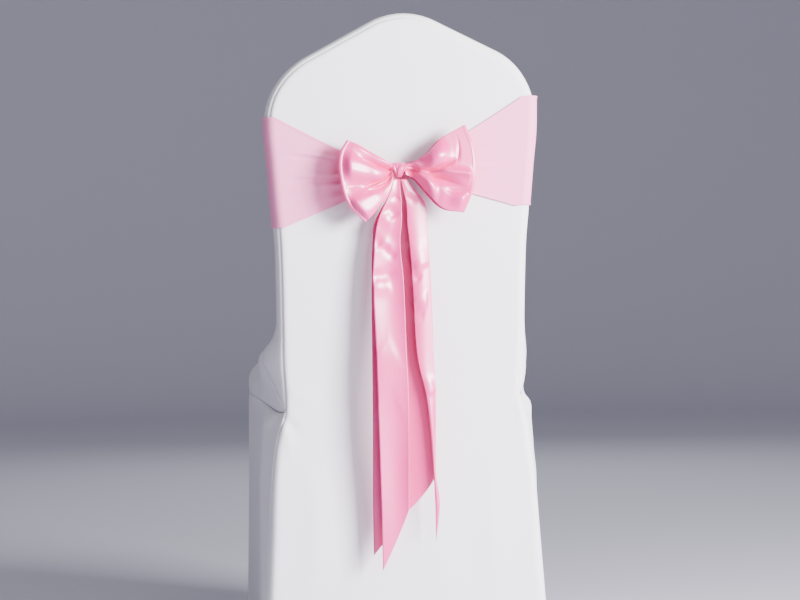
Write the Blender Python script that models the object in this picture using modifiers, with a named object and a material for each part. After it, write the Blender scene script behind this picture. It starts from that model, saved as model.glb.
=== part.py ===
"""Stretch-knit cover for a crown-back banquet chair, with a tied sash: panels, a band, a bow and tails.

+Z is up, the floor is z = 0, the outside back with the bow faces -Y, and the seat reaches towards +Y.
Depths in the tables are counted from the rear face at the waist. The chair is left out, so the cover is
hollow.
"""

import math

import bpy
import numpy as np

# ----------------------------------------------------------------------------------------------------
# Driving dimensions, in metres
# ----------------------------------------------------------------------------------------------------
HEIGHT = 0.972  # floor to the top of the crown
WAIST_Z = 0.405  # where the backrest meets the seat at its sides
SEAT_Z = 0.457  # top of the seat panel
SEAT_DEPTH = 0.443  # rear face at the waist to the front drop
REAR_Y = -0.183  # rear face at the waist, placed so that the bounding box is centred on the origin

CROWN_TOP_RADIUS = 0.110
CROWN_SLOPE = math.radians(27.0)
CROWN_CORNER_RADIUS = 0.112
BACK_HALF_WIDTH = 0.2030  # widest part of the backrest, just under the crown's corners
EDGE_RADIUS = 0.015  # in-plane rounding of the backrest's edge
SPINE_DROP = 0.075  # the crown's rows meet on a centre line that starts this far below the top

WAIST_SEAM_ANGLE = 32.0  # degrees round the edge, from the rear face to the edge seam
FLOOR_SEAM_ANGLE = 78.0
SEAM_GAP = 0.0010  # left open between two panels' cut edges
SIDE_SEAM_GAP = 0.0016
LAST_STEP = 0.92  # the last facet before a seam is short, so that both cut edges stand square to the cloth

SEAT_SHOULDER = 0.045  # width of the seat's rolled side
SEAT_FRONT_RADIUS = 0.028
FRONT_CORNER_RADIUS = 0.022
HEM_ARCH = 0.040  # how far the hem is pulled up between two legs
ARCH_STARTS_Z = 0.30  # below this height the cloth's rows begin to follow the arched hem

COVER_THICKNESS = 0.0020
SASH_THICKNESS = 0.0014
SASH_CLEARANCE = 0.0010
BAND_HALF_HEIGHT = 0.0805
BAND_GATHER_HALF = 0.012  # half the band's height where it is drawn together
BAND_GATHER_X = -0.0055
BAND_NECK = 0.0105  # the drawn-together stretch reaches this far to both sides
BAND_TAPER = 0.43  # how fast half the band's height grows beyond it
BAND_PLEATS = 3
BAND_PLEAT_DEPTH = 0.0050
KNOT_X = -0.0085  # the bow is tied a little off the middle
KNOT_Z = 0.741
KNOT_DEPTH = -0.050
KNOT_SIZE = (0.024, 0.018, 0.024)

SHOULDER_START_X = BACK_HALF_WIDTH - CROWN_CORNER_RADIUS * (1 - math.sin(CROWN_SLOPE))
SHOULDER_START_Z = (
    HEIGHT
    - CROWN_TOP_RADIUS * (1 - math.cos(CROWN_SLOPE))
    - (SHOULDER_START_X - CROWN_TOP_RADIUS * math.sin(CROWN_SLOPE)) * math.tan(CROWN_SLOPE)
)
SHOULDER_Z = SHOULDER_START_Z - CROWN_CORNER_RADIUS * math.cos(CROWN_SLOPE)

# The rear face by height, floor first: half width, depth of the rear face, thickness of the backrest
REAR_COLUMNS = ("z", "half_width", "rear", "thick")
REAR_ROWS = [
    (0.000, 0.2160, -0.0200, 0.040),
    (0.100, 0.2115, -0.0150, 0.042),
    (0.200, 0.2060, -0.0100, 0.044),
    (0.300, 0.2005, -0.0040, 0.046),
    (0.360, 0.1935, -0.0010, 0.048),
    (WAIST_Z, 0.1838, -0.0010, 0.048),
    (0.440, 0.1848, -0.0035, 0.048),
    (0.500, 0.1867, -0.0090, 0.047),
    (0.580, 0.1877, -0.0165, 0.044),
    (0.640, 0.1895, -0.0220, 0.042),
    (0.690, 0.1935, -0.0270, 0.040),
    (0.750, 0.1982, -0.0325, 0.039),
    (SHOULDER_Z, BACK_HALF_WIDTH, -0.0380, 0.038),
    (HEIGHT, BACK_HALF_WIDTH, -0.0530, 0.036),
]

# The seat's sides from the backrest forward: depth, half width, top of the side, height of the side seam
SEAT_COLUMNS = ("depth", "half_width", "side_top", "seam_z")
SEAT_ROWS = [
    (0.110, 0.2035, 0.448, 0.4120),
    (0.170, 0.2055, 0.440, 0.4135),
    (0.250, 0.2060, 0.435, 0.4135),
    (0.330, 0.2050, 0.431, 0.4125),
    (0.390, 0.2035, 0.428, 0.4105),
]

# The front legs' outside by height: half width and depth of the front drop
FRONT_COLUMNS = ("z", "half_width", "depth")
FRONT_ROWS = [
    (0.000, 0.2120, SEAT_DEPTH + 0.006),
    (0.100, 0.2095, SEAT_DEPTH + 0.004),
    (0.300, 0.2050, SEAT_DEPTH + 0.001),
    (0.430, 0.2035, SEAT_DEPTH),
]

# The side drops' rear corners by height, where the cloth bends round the chair's rear legs
KNEE_COLUMNS = ("z", "half_width", "depth")
KNEE_ROWS = [
    (0.000, 0.2160, 0.020),
    (0.100, 0.2135, 0.035),
    (0.200, 0.2118, 0.050),
    (0.300, 0.2100, 0.060),
    (0.345, 0.2078, 0.061),
    (0.385, 0.2045, 0.061),
]

# The sash band across the rear, left to right: height of its middle
BAND_COLUMNS = ("x", "middle_z")
BAND_ROWS = [(-0.200, 0.7395), (-0.081, 0.7330), (0.000, 0.7400), (0.106, 0.7536), (0.200, 0.7695)]

# A bow loop by the share of its length out from the knot: half height, height of its middle above the knot's,
# and the depths of its front and rear layers from the knot's
LOOP_COLUMNS = ("share", "half_height", "lift", "front", "rear")
LEFT_LOOP_ROWS = [
    (0.00, 0.0110, -0.0040, -0.0055, 0.0050),
    (0.12, 0.0210, -0.0100, -0.0110, 0.0065),
    (0.50, 0.0385, -0.0135, -0.0205, 0.0080),
    (0.80, 0.0520, -0.0155, -0.0225, 0.0060),
    (1.00, 0.0590, -0.0165, -0.0190, 0.0000),
]
RIGHT_LOOP_ROWS = [
    (0.00, 0.0085, -0.0010, -0.0055, 0.0050),
    (0.15, 0.0140, -0.0015, -0.0110, 0.0065),
    (0.35, 0.0280, -0.0050, -0.0185, 0.0080),
    (0.60, 0.0495, -0.0055, -0.0250, 0.0070),
    (1.00, 0.0640, 0.0000, -0.0200, 0.0000),
]

# How far a loop reaches out at each level of its height, from its lower edge (-1) to its top edge (1)
REACH_COLUMNS = ("level", "reach")
LEFT_REACH_ROWS = [
    (-1.0, 0.046),
    (-0.67, 0.066),
    (-0.4, 0.075),
    (0.0, 0.081),
    (0.4, 0.083),
    (0.75, 0.079),
    (1.0, 0.070),
]
RIGHT_REACH_ROWS = [(-1.0, 0.085), (-0.5, 0.098), (0.0, 0.1025), (0.5, 0.100), (1.0, 0.089)]
LOOP_NECK = 0.0130  # where a loop leaves the knot
LOOP_BEND = 0.008  # how far the outer bend stands past the loop's layers

# A tail from the knot down: height, sideways places of its front edge, fold and rear edge, and their depths
TAIL_COLUMNS = ("z", "front_x", "fold_x", "rear_x", "front", "fold", "rear")
LEFT_TAIL_ROWS = [
    (0.7275, -0.0165, -0.0080, -0.0155, -0.054, -0.053, -0.046),
    (0.7120, -0.0205, -0.0075, -0.0195, -0.055, -0.054, -0.044),
    (0.6950, -0.0286, -0.0059, -0.0286, -0.055, -0.053, -0.041),
    (0.6650, -0.0416, -0.0061, -0.0441, -0.054, -0.052, -0.037),
    (0.6370, -0.0456, -0.0086, -0.0476, -0.054, -0.051, -0.036),
    (0.5800, -0.0493, -0.0046, -0.0496, -0.053, -0.050, -0.035),
    (0.4780, -0.0466, -0.0019, -0.0506, -0.053, -0.050, -0.034),
    (0.4050, -0.0449, 0.0002, -0.0511, -0.052, -0.050, -0.034),
    (0.2500, -0.0423, -0.0018, -0.0536, -0.051, -0.049, -0.036),
]
RIGHT_TAIL_ROWS = [
    (0.7275, -0.0055, 0.0035, -0.0055, -0.050, -0.048, -0.042),
    (0.7120, -0.0025, 0.0150, -0.0055, -0.049, -0.046, -0.038),
    (0.6950, 0.0019, 0.0289, -0.0071, -0.047, -0.043, -0.034),
    (0.6600, 0.0036, 0.0324, -0.0094, -0.045, -0.041, -0.031),
    (0.6370, 0.0062, 0.0338, -0.0098, -0.044, -0.040, -0.029),
    (0.5700, 0.0103, 0.0379, -0.0101, -0.043, -0.039, -0.026),
    (0.4620, 0.0163, 0.0402, -0.0101, -0.042, -0.038, -0.025),
    (0.4050, 0.0286, 0.0421, -0.0101, -0.042, -0.038, -0.024),
    (0.3000, 0.0364, 0.0409, -0.0096, -0.041, -0.037, -0.024),
    (0.2450, 0.0386, 0.0504, -0.0096, -0.041, -0.037, -0.024),
]
LEFT_TAIL_ENDS = {"front": 0.154, "fold": 0.243, "rear": 0.175}
RIGHT_TAIL_ENDS = {"front": 0.192, "fold": 0.290, "rear": 0.229}

FINISHES = {
    # name: (colour, roughness)
    "white_knit": ((0.86, 0.86, 0.88), 0.80),
    "pink_knit": ((0.90, 0.52, 0.62), 0.70),
    "pink_satin": ((0.92, 0.45, 0.58), 0.35),
}


# ----------------------------------------------------------------------------------------------------
# Curves through the tables
# ----------------------------------------------------------------------------------------------------
def smooth_through(xs, ys, x):
    """The value at x of a cubic curve through the points, which never swings past them. xs rise."""
    xs, ys = np.asarray(xs, float), np.asarray(ys, float)
    x = min(max(x, xs[0]), xs[-1])
    steps = np.diff(ys) / np.diff(xs)
    slopes = np.concatenate([[steps[0]], (steps[:-1] + steps[1:]) / 2, [steps[-1]]])
    flat = np.concatenate([[False], steps[:-1] * steps[1:] <= 0, [False]])
    slopes[flat] = 0.0
    k = min(int(np.searchsorted(xs, x, side="right")) - 1, len(xs) - 2)
    width = xs[k + 1] - xs[k]
    t = (x - xs[k]) / width
    start, end = (1 + 2 * t) * (1 - t) ** 2, t * t * (3 - 2 * t)
    leave, arrive = t * (1 - t) ** 2 * width, t * t * (t - 1) * width
    return start * ys[k] + end * ys[k + 1] + leave * slopes[k] + arrive * slopes[k + 1]


def read(rows, columns, key, wanted, at):
    """One named column of a table, at a value of its key column."""
    keys = [row[columns.index(key)] for row in rows]
    values = [row[columns.index(wanted)] for row in rows]
    return smooth_through(keys, values, at)


def rear_at(wanted, z):
    return read(REAR_ROWS, REAR_COLUMNS, "z", wanted, z)


def front_at(wanted, z):
    return read(FRONT_ROWS, FRONT_COLUMNS, "z", wanted, z)


def seat_at(wanted, depth):
    return read(SEAT_ROWS, SEAT_COLUMNS, "depth", wanted, depth)


def smooth_rows(rows, steps):
    """Catmull-Rom rows between guide rows: rows is (guides, points, 3)."""
    rows = np.asarray(rows, float)
    padded = np.concatenate([2 * rows[:1] - rows[1:2], rows, 2 * rows[-1:] - rows[-2:-1]])
    result = []
    for k in range(len(rows) - 1):
        a, b, c, d = padded[k : k + 4]
        for t in np.arange(steps) / steps:
            bend = 2 * a - 5 * b + 4 * c - d
            twist = 3 * b - 3 * c + d - a
            result.append(0.5 * (2 * b + (c - a) * t + bend * t**2 + twist * t**3))
    result.append(rows[-1])
    return np.array(result)


# ----------------------------------------------------------------------------------------------------
# Objects
# ----------------------------------------------------------------------------------------------------
def clear_scene():
    for old in list(bpy.data.objects):
        bpy.data.objects.remove(old, do_unlink=True)


def make_finishes():
    made = {}
    for name, (colour, roughness) in FINISHES.items():
        material = bpy.data.materials.new(name)
        material.use_nodes = True
        shader = material.node_tree.nodes["Principled BSDF"]
        shader.inputs["Base Color"].default_value = (*colour, 1.0)
        shader.inputs["Roughness"].default_value = roughness
        shader.inputs["Metallic"].default_value = 0.0
        made[name] = material
    return made


def sheet(name, grid, finish, thickness, mirror=False, closed=False, flip=False):
    """A sheet over a grid of points, thickened inwards: it looks out when rows run down and points right."""
    grid = np.array(grid, float)
    grid[:, :, 1] += REAR_Y
    rows, across = grid.shape[:2]
    last = rows if closed else rows - 1
    faces = []
    for i in range(last):
        below = (i + 1) % rows
        for j in range(across - 1):
            face = (i * across + j, below * across + j, below * across + j + 1, i * across + j + 1)
            faces.append(face[::-1] if flip else face)
    mesh = bpy.data.meshes.new(name)
    mesh.from_pydata([tuple(point) for point in grid.reshape(-1, 3)], [], faces)
    mesh.shade_smooth()
    mesh.materials.append(finish)
    obj = bpy.data.objects.new(name, mesh)
    parts.objects.link(obj)
    if mirror:
        across_centre = obj.modifiers.new("Mirror", "MIRROR")
        across_centre.merge_threshold = 0.0001
    solid = obj.modifiers.new("Thickness", "SOLIDIFY")
    solid.thickness = thickness
    solid.offset = -1.0
    return obj


# ----------------------------------------------------------------------------------------------------
# The cover's outline and edge
# ----------------------------------------------------------------------------------------------------
def crown_stations():
    """The right half of the crown from its top down to the shoulder: x, z and the outward normal."""
    stations = []
    for turn in np.linspace(0.0, CROWN_SLOPE, 4):
        x, z = CROWN_TOP_RADIUS * math.sin(turn), HEIGHT - CROWN_TOP_RADIUS * (1 - math.cos(turn))
        stations.append((x, z, math.sin(turn), math.cos(turn)))
    start_x, start_z = stations[-1][0], stations[-1][1]
    for share in (1 / 3, 2 / 3):
        x = start_x + share * (SHOULDER_START_X - start_x)
        z = start_z + share * (SHOULDER_START_Z - start_z)
        stations.append((x, z, math.sin(CROWN_SLOPE), math.cos(CROWN_SLOPE)))
    for turn in np.linspace(CROWN_SLOPE, math.pi / 2, 7):
        x = BACK_HALF_WIDTH - CROWN_CORNER_RADIUS * (1 - math.sin(turn))
        z = SHOULDER_Z + CROWN_CORNER_RADIUS * math.cos(turn)
        stations.append((x, z, math.sin(turn), math.cos(turn)))
    return stations


def side_station(z):
    """A station on the side of the outline, with its normal from the slope of the table's curve."""
    step = 0.002
    slope = (rear_at("half_width", z + step) - rear_at("half_width", z - step)) / (2 * step)
    length = math.hypot(1.0, slope)
    return (rear_at("half_width", z), z, 1.0 / length, -slope / length)


def spine_height(station):
    """Where a station's row meets the centre line: pushed down under the crown, level further down."""
    drop = HEIGHT - station[1]
    reach = 4 * SPINE_DROP
    pushed = SPINE_DROP * max(0.0, 1 - drop / reach) ** 2
    return station[1] - pushed


def hem_lift(z):
    """How far a row is raised at the middle of its span, growing towards the arched hem."""
    return HEM_ARCH * max(0.0, 1 - z / ARCH_STARTS_Z) ** 1.5


def seam_angle(z):
    """How far round the edge the seam lies. Below the waist it wanders from the rear edge to the side."""
    below_waist = min(max((WAIST_Z - z) / WAIST_Z, 0.0), 1.0)
    wandered = (FLOOR_SEAM_ANGLE - WAIST_SEAM_ANGLE) * math.sin(below_waist * math.pi / 2)
    return math.radians(WAIST_SEAM_ANGLE + wandered)


def edge_point(station, angle, grow=0.0):
    """A point on the rounded edge: angle 0 looks rearwards, 90 degrees sideways and 180 forwards."""
    x, z, nx, nz = station
    inner_x, inner_z = x - EDGE_RADIUS * nx, z - EDGE_RADIUS * nz
    reach = (EDGE_RADIUS + grow) * math.sin(angle)
    z_here = inner_z + reach * nz
    half = rear_at("thick", inner_z) / 2
    depth = rear_at("rear", z_here) + half - (half + grow) * math.cos(angle)
    return (inner_x + reach * nx, depth, z_here)


def back_row(station, flat_steps=4, arc_steps=3):
    """One row of the outside back: from the centre line over the flat face to the seam on its edge."""
    inner_x, _, inner_z = edge_point(station, 0.0)
    spine_z = spine_height(station) + hem_lift(station[1])
    points = []
    for share in np.linspace(0.0, 1.0, flat_steps + 1):
        z = inner_z + (spine_z - inner_z) * (1 - share**2)
        points.append((share * inner_x, rear_at("rear", z), z))
    end = seam_angle(station[1]) - SEAM_GAP / 2 / EDGE_RADIUS
    turns = [*np.linspace(0.0, LAST_STEP, arc_steps + 1)[1:], 1.0]
    points += [edge_point(station, end * turn) for turn in turns]
    return points


# ----------------------------------------------------------------------------------------------------
# The inside back, seat and front drop: rows with six guide points each
# ----------------------------------------------------------------------------------------------------
def guide_row(centre, shoulder, corner, side, bend, seam):
    return np.array([centre, shoulder, corner, side, bend, seam], float)


def inside_guides(station):
    """The inside back at a station: flat to its shoulder, round the edge, and on to the rear seam."""
    z = station[1]
    end = seam_angle(max(z, WAIST_Z)) + SEAM_GAP / 2 / EDGE_RADIUS
    shoulder, side, seam = (np.array(edge_point(station, angle)) for angle in (math.pi, math.pi / 2, end))
    corner = side + (0.0, shoulder[1] - rear_at("rear", z) - rear_at("thick", z) / 2, 0.0)
    half = rear_at("thick", z) / 2
    bend = side - (0.0, half * (1 - math.sin(end)) / math.cos(end), 0.0)
    spine_z = spine_height(station)
    centre = (0.0, rear_at("rear", spine_z) + rear_at("thick", spine_z), spine_z)
    return guide_row(centre, shoulder, corner, side, bend, seam)


def edge_seam(z):
    """The inside back's cut edge at a height, on the backrest's rounded edge."""
    return np.array(edge_point(side_station(z), seam_angle(z) + SEAM_GAP / 2 / EDGE_RADIUS))


def crease_guides():
    """The row where the inside back meets the seat: the knit bridges the corner, drawn in to the waist."""
    return guide_row(
        (0.0, 0.062, 0.474),
        (0.166, 0.063, 0.478),
        (0.1950, 0.060, 0.488),
        (0.1945, 0.050, 0.478),
        (0.1970, 0.026, 0.436),
        edge_seam(WAIST_Z),
    )


def seat_guides(depth):
    half_width, side_top, seam_z = (seat_at(name, depth) for name in ("half_width", "side_top", "seam_z"))
    side = (half_width, depth, side_top)
    seam = (half_width + 0.0005, depth, seam_z)
    bend = (half_width + 0.0005, depth, (side_top + seam_z) / 2)
    shoulder = (half_width - SEAT_SHOULDER, depth, SEAT_Z)
    return guide_row((0.0, depth, SEAT_Z), shoulder, (half_width, depth, SEAT_Z), side, bend, seam)


def front_edge_guides(turn):
    """A row on the seat's front edge, from facing up (turn 0) to facing forward (turn 90 degrees)."""
    depth = SEAT_DEPTH - SEAT_FRONT_RADIUS * (1 - math.sin(turn))
    z = SEAT_Z - SEAT_FRONT_RADIUS * (1 - math.cos(turn))
    half_width = front_at("half_width", z)
    corner = (half_width, depth, z)
    inset = SEAT_SHOULDER + (FRONT_CORNER_RADIUS - SEAT_SHOULDER) * math.sin(turn)
    side_depth = SEAT_DEPTH - SEAT_FRONT_RADIUS + (SEAT_FRONT_RADIUS - FRONT_CORNER_RADIUS) * math.sin(turn)
    side = (half_width, side_depth, SEAT_Z - SEAT_FRONT_RADIUS)
    seam_depth = SEAT_DEPTH - 0.041 + 0.013 * math.sin(turn)
    seam = (half_width + 0.0005, seam_depth, 0.4100 - 0.0095 * (1 - math.cos(turn)))
    bend = (half_width + 0.0005, (side_depth + seam_depth) / 2, (side[2] + seam[2]) / 2)
    return guide_row((0.0, depth, z), (half_width - inset, depth, z), corner, side, bend, seam)


def front_guides(z):
    half_width, depth = front_at("half_width", z), front_at("depth", z)
    side_depth = depth - FRONT_CORNER_RADIUS
    side = (half_width, side_depth, z)
    seam = (half_width + 0.0005, side_depth - 0.006, z)
    bend = (half_width + 0.0005, side_depth - 0.003, z)
    shoulder = (half_width - FRONT_CORNER_RADIUS, depth, z)
    return guide_row((0.0, depth, z + hem_lift(z)), shoulder, (half_width, depth, z), side, bend, seam)


def fill_row(guides, flat_steps, arc_steps=3, seam_steps=2):
    """Points along a row: straight to the shoulder, a quarter ellipse to the side, a bend to the seam."""
    centre, shoulder, corner, side, bend, seam = guides
    points = []
    for share in np.linspace(0.0, 1.0, flat_steps + 1):
        point = centre + (shoulder - centre) * share
        point[2] = shoulder[2] + (centre[2] - shoulder[2]) * (1 - share**2)
        points.append(point)
    middle = shoulder + side - corner
    for angle in np.linspace(0.0, math.pi / 2, arc_steps + 1)[1:]:
        points.append(middle + (corner - side) * math.cos(angle) + (corner - shoulder) * math.sin(angle))
    for t in (*np.linspace(0.0, LAST_STEP, seam_steps + 1)[1:], 1.0):
        points.append(side * (1 - t) ** 2 + 2 * bend * t * (1 - t) + seam * t**2)
    return np.array(points)


def open_seam(rows, at_start, gap=SEAM_GAP):
    """Draws a panel's first or last row back from the seam line, by the seam's gap."""
    rows = [np.array(row) for row in rows]
    edge, inner = (0, 1) if at_start else (-1, -2)
    towards = rows[inner] - rows[edge]
    length = np.maximum(np.linalg.norm(towards, axis=1, keepdims=True), 1e-9)
    rows[edge] = rows[edge] + towards / length * gap
    return rows


# ----------------------------------------------------------------------------------------------------
# The cover's panels
# ----------------------------------------------------------------------------------------------------
BACK_HEIGHTS = (0.775, 0.735, 0.695, 0.655, 0.615, 0.57, 0.52)
CREASE_HEIGHTS = (0.48, 0.44, WAIST_Z)
REAR_DROP_HEIGHTS = (0.385, 0.36, 0.33, 0.29, 0.22, 0.15, 0.07, 0.0)
FRONT_DROP_HEIGHTS = (0.385, 0.33, 0.26, 0.17, 0.08, 0.0)


def make_outside_back(finish):
    stations = crown_stations()
    stations += [side_station(z) for z in (*BACK_HEIGHTS, *CREASE_HEIGHTS, *REAR_DROP_HEIGHTS)]
    sheet("outside_back", [back_row(station) for station in stations], finish, COVER_THICKNESS, mirror=True)


def make_inside_back_and_seat(finish):
    backrest = [inside_guides(station) for station in crown_stations()]
    backrest += [inside_guides(side_station(z)) for z in BACK_HEIGHTS]
    crease = crease_guides()
    seat = [seat_guides(row[0]) for row in SEAT_ROWS]
    corner = [front_edge_guides(turn) for turn in (0.0, math.pi / 4, math.pi / 2)]
    drop = [front_guides(z) for z in FRONT_DROP_HEIGHTS]

    # Rows on both sides of the crease come from one smooth run, so the two panels meet on it.
    run = smooth_rows([backrest[-2], backrest[-1], crease, seat[0], seat[1]], 3)
    for row in run[3:7]:
        row[-1] = edge_seam(row[-1][2])
    upper = backrest[:-1] + list(run[3:7])
    lower = list(run[6:10]) + seat[1:] + corner[:2]
    front = corner[1:] + drop

    rows = open_seam([fill_row(row, 4) for row in upper], at_start=False)
    sheet("inside_back", rows, finish, COVER_THICKNESS, mirror=True, flip=True)
    rows = open_seam([fill_row(row, 2) for row in lower], at_start=True)
    rows = open_seam(rows, at_start=False)
    sheet("seat_panel", rows, finish, COVER_THICKNESS, mirror=True, flip=True)
    rows = open_seam([fill_row(row, 4) for row in front], at_start=True)
    sheet("skirt_front", rows, finish, COVER_THICKNESS, mirror=True, flip=True)
    return [row[-1] for row in lower], [row[-1] for row in front]


def side_row(z, shares):
    """A row of a side drop: round the rear corner from the seam, then forward to the front corner."""
    station = side_station(z)
    start = np.array(edge_point(station, seam_angle(z) + SEAM_GAP / 2 / EDGE_RADIUS))
    corner = np.array([read(KNEE_ROWS, KNEE_COLUMNS, "z", name, z) for name in ("half_width", "depth")] + [z])
    end = front_guides(z)[-1] - (0.0, SIDE_SEAM_GAP, 0.0)
    knee = 0.12
    points = []
    for share in shares:
        if share < knee:
            part = share / knee
            point = start + (corner - start) * part
        else:
            part = (share - knee) / (1 - knee)
            point = corner + (end - corner) * part
            point[0] -= 0.006 * math.sin(math.pi * part) ** 2
        point[2] = z + hem_lift(z) * math.sin(math.pi * share)
        points.append(point)
    return np.array(points)


def make_side_skirts(seat_seam, front_seam, finish):
    top = [point - np.array((0.0, 0.0, SIDE_SEAM_GAP)) for point in seat_seam[:-1]]
    top.append(front_seam[1] - np.array((0.0, SIDE_SEAM_GAP, 0.0)))
    depths = np.array([point[1] for point in top])
    shares = (depths - depths[0]) / (depths[-1] - depths[0])
    rows = [top] + [side_row(z, shares) for z in REAR_DROP_HEIGHTS]
    rows[0][0] = rows[0][0] + np.array((0.0, SIDE_SEAM_GAP, -SIDE_SEAM_GAP))
    right = np.array(rows)
    left = right * (-1.0, 1.0, 1.0)
    sheet("skirt_right", right, finish, COVER_THICKNESS)
    sheet("skirt_left", left, finish, COVER_THICKNESS, flip=True)


# ----------------------------------------------------------------------------------------------------
# The sash band
# ----------------------------------------------------------------------------------------------------
def band_section(z, side, place, grow):
    """A point on the backrest's section: place 0 to 1 is over the rear, 1 to 2 the edge, 2 to 3 the front."""
    station = (rear_at("half_width", z), z, 1.0, 0.0)
    if place <= 1.0:
        x, depth = place * (station[0] - EDGE_RADIUS), rear_at("rear", z) - grow
    elif place < 2.0:
        x, depth, _ = edge_point(station, (place - 1.0) * math.pi, grow)
    else:
        x, depth = (3.0 - place) * (station[0] - EDGE_RADIUS), rear_at("rear", z) + rear_at("thick", z) + grow
    return np.array((side * x, depth, z))


def band_column(side, place, levels=10):
    """The band from its top edge to its lower edge at one place round the backrest."""
    across = min(place, 1.0) if place < 2.0 else 3.0 - place
    left, right = BAND_ROWS[0], BAND_ROWS[-1]
    middle = read(BAND_ROWS, BAND_COLUMNS, "x", "middle_z", side * across * right[0])
    if place > 2.0:
        middle = (left[1] + right[1]) / 2 + side * across * (right[1] - left[1]) / 2
    half, pleat = BAND_HALF_HEIGHT, 0.0
    if place < 1.0:
        from_gather = abs(side * across * right[0] - BAND_GATHER_X)
        growing = BAND_TAPER * max(0.0, from_gather - BAND_NECK)
        half = min(BAND_HALF_HEIGHT, math.hypot(BAND_GATHER_HALF, growing))
        pleat = BAND_PLEAT_DEPTH * max(0.0, 1 - place / 0.7) ** 1.5
    points = []
    for share in np.linspace(0.0, 1.0, levels + 1):
        z = middle + half * (1 - 2 * share)
        swell = pleat * (0.5 - 0.5 * math.cos(2 * math.pi * BAND_PLEATS * share))
        points.append(band_section(z, side, place, SASH_CLEARANCE + SASH_THICKNESS + swell))
    return points


def make_band(finish):
    rear_places = [0.0, 0.05, 0.1, 0.17, 0.25, 0.35, 0.5, 0.65, 0.82]
    edge_places = [1.0, 1.15, 1.3, 1.5, 1.7, 1.85]
    front_places = [2.0, 2.25, 2.5, 2.75]
    places = rear_places + edge_places + front_places
    columns = [band_column(1, place) for place in places]
    columns.append(band_column(1, 3.0))
    columns += [band_column(-1, place) for place in reversed(places[1:])]
    sheet("sash_band", columns, finish, SASH_THICKNESS, closed=True, flip=False)


# ----------------------------------------------------------------------------------------------------
# The bow
# ----------------------------------------------------------------------------------------------------
def loop_layer(loop, side, layer, share, levels=8):
    """One column of a loop's front or rear layer, top edge to lower edge, at a share of the loop's length."""
    named = ("half_height", "lift", layer)
    half, lift, depth = (read(loop["rows"], LOOP_COLUMNS, "share", name, share) for name in named)
    points = []
    for level in np.linspace(1.0, -1.0, levels + 1):
        reach = LOOP_NECK + share * (read(loop["reach"], REACH_COLUMNS, "level", "reach", level) - LOOP_NECK)
        crown = 0.72 + 0.28 * math.cos(level * math.pi / 2)
        fold = 0.0016 * math.cos(3 * math.pi * level) * (1 - share)
        out = -1 if layer == "front" else 1
        x, z = KNOT_X + side * reach, KNOT_Z + lift + half * level
        points.append((x, KNOT_DEPTH + depth * crown + out * fold, z))
    return points


def loop_end(loop, side, turn):
    """One column of the loop's outer bend, from its front layer (turn 0) to its rear layer (180 degrees)."""
    front, rear = (np.array(loop_layer(loop, side, layer, 1.0)) for layer in ("front", "rear"))
    column = (front + rear) / 2 + (front - rear) / 2 * math.cos(turn)
    column[:, 0] += side * LOOP_BEND * math.sin(turn)
    return column


def make_loop(name, loop, side, finish):
    shares = (0.0, 0.1, 0.25, 0.42, 0.6, 0.8, 1.0)
    columns = [loop_layer(loop, side, "front", share) for share in shares]
    columns += [loop_end(loop, side, math.radians(turn)) for turn in (45, 90, 135)]
    columns += [loop_layer(loop, side, "rear", share) for share in reversed(shares)]
    sheet(name, columns, finish, SASH_THICKNESS, flip=side < 0)


def make_knot(finish):
    """The wrapped knot is a soft lump, flattened towards its two sides where the loops go in."""
    bpy.ops.mesh.primitive_cube_add(size=1.0, location=(KNOT_X, REAR_Y + KNOT_DEPTH - 0.001, KNOT_Z))
    knot = bpy.context.object
    knot.name = knot.data.name = "bow_knot"
    knot.scale = KNOT_SIZE
    bpy.ops.object.transform_apply(location=False, rotation=False, scale=True)
    for collection in list(knot.users_collection):
        collection.objects.unlink(knot)
    parts.objects.link(knot)
    soften = knot.modifiers.new("Soften", "BEVEL")
    soften.width = 0.007
    soften.segments = 3
    knot.data.materials.append(finish)
    knot.data.shade_smooth()


# ----------------------------------------------------------------------------------------------------
# The tails
# ----------------------------------------------------------------------------------------------------
def tail_row(rows, ends, z_share, leaf_steps=4):
    """One row of a folded tail, from its front edge round the fold to its rear edge."""
    top = rows[0][0]
    points = []
    leaves = [("front", share) for share in np.linspace(0.0, 1.0, leaf_steps + 1)]
    leaves += [("rear", share) for share in np.linspace(1.0, 0.0, leaf_steps + 1)]
    for leaf, share in leaves:
        foot = ends[leaf] + (ends["fold"] - ends[leaf]) * share
        z = top + (foot - top) * z_share
        edge_x, fold_x = (read(rows[::-1], TAIL_COLUMNS, "z", name, z) for name in (leaf + "_x", "fold_x"))
        edge_y, fold_y = (read(rows[::-1], TAIL_COLUMNS, "z", name, z) for name in (leaf, "fold"))
        near_fold = 0.5 - 0.5 * math.cos(math.pi * share) if leaf == "front" else share**2
        apart = 0.0022 if leaf == "rear" else -0.0022
        y = edge_y + (fold_y - edge_y) * near_fold + apart * share**4
        points.append((edge_x + (fold_x - edge_x) * (1 - (1 - share) ** 1.15), y, z))
    return points


def make_tail(name, rows, ends, finish):
    shares = np.concatenate([np.linspace(0.0, 0.24, 7), np.linspace(0.32, 1.0, 11)])
    grid = [tail_row(rows, ends, share) for share in shares]
    sheet(name, grid, finish, SASH_THICKNESS)


# ----------------------------------------------------------------------------------------------------
# Build
# ----------------------------------------------------------------------------------------------------
clear_scene()
parts = bpy.data.collections.new("chair_cover_with_sash")
bpy.context.scene.collection.children.link(parts)
finishes = make_finishes()

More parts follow.
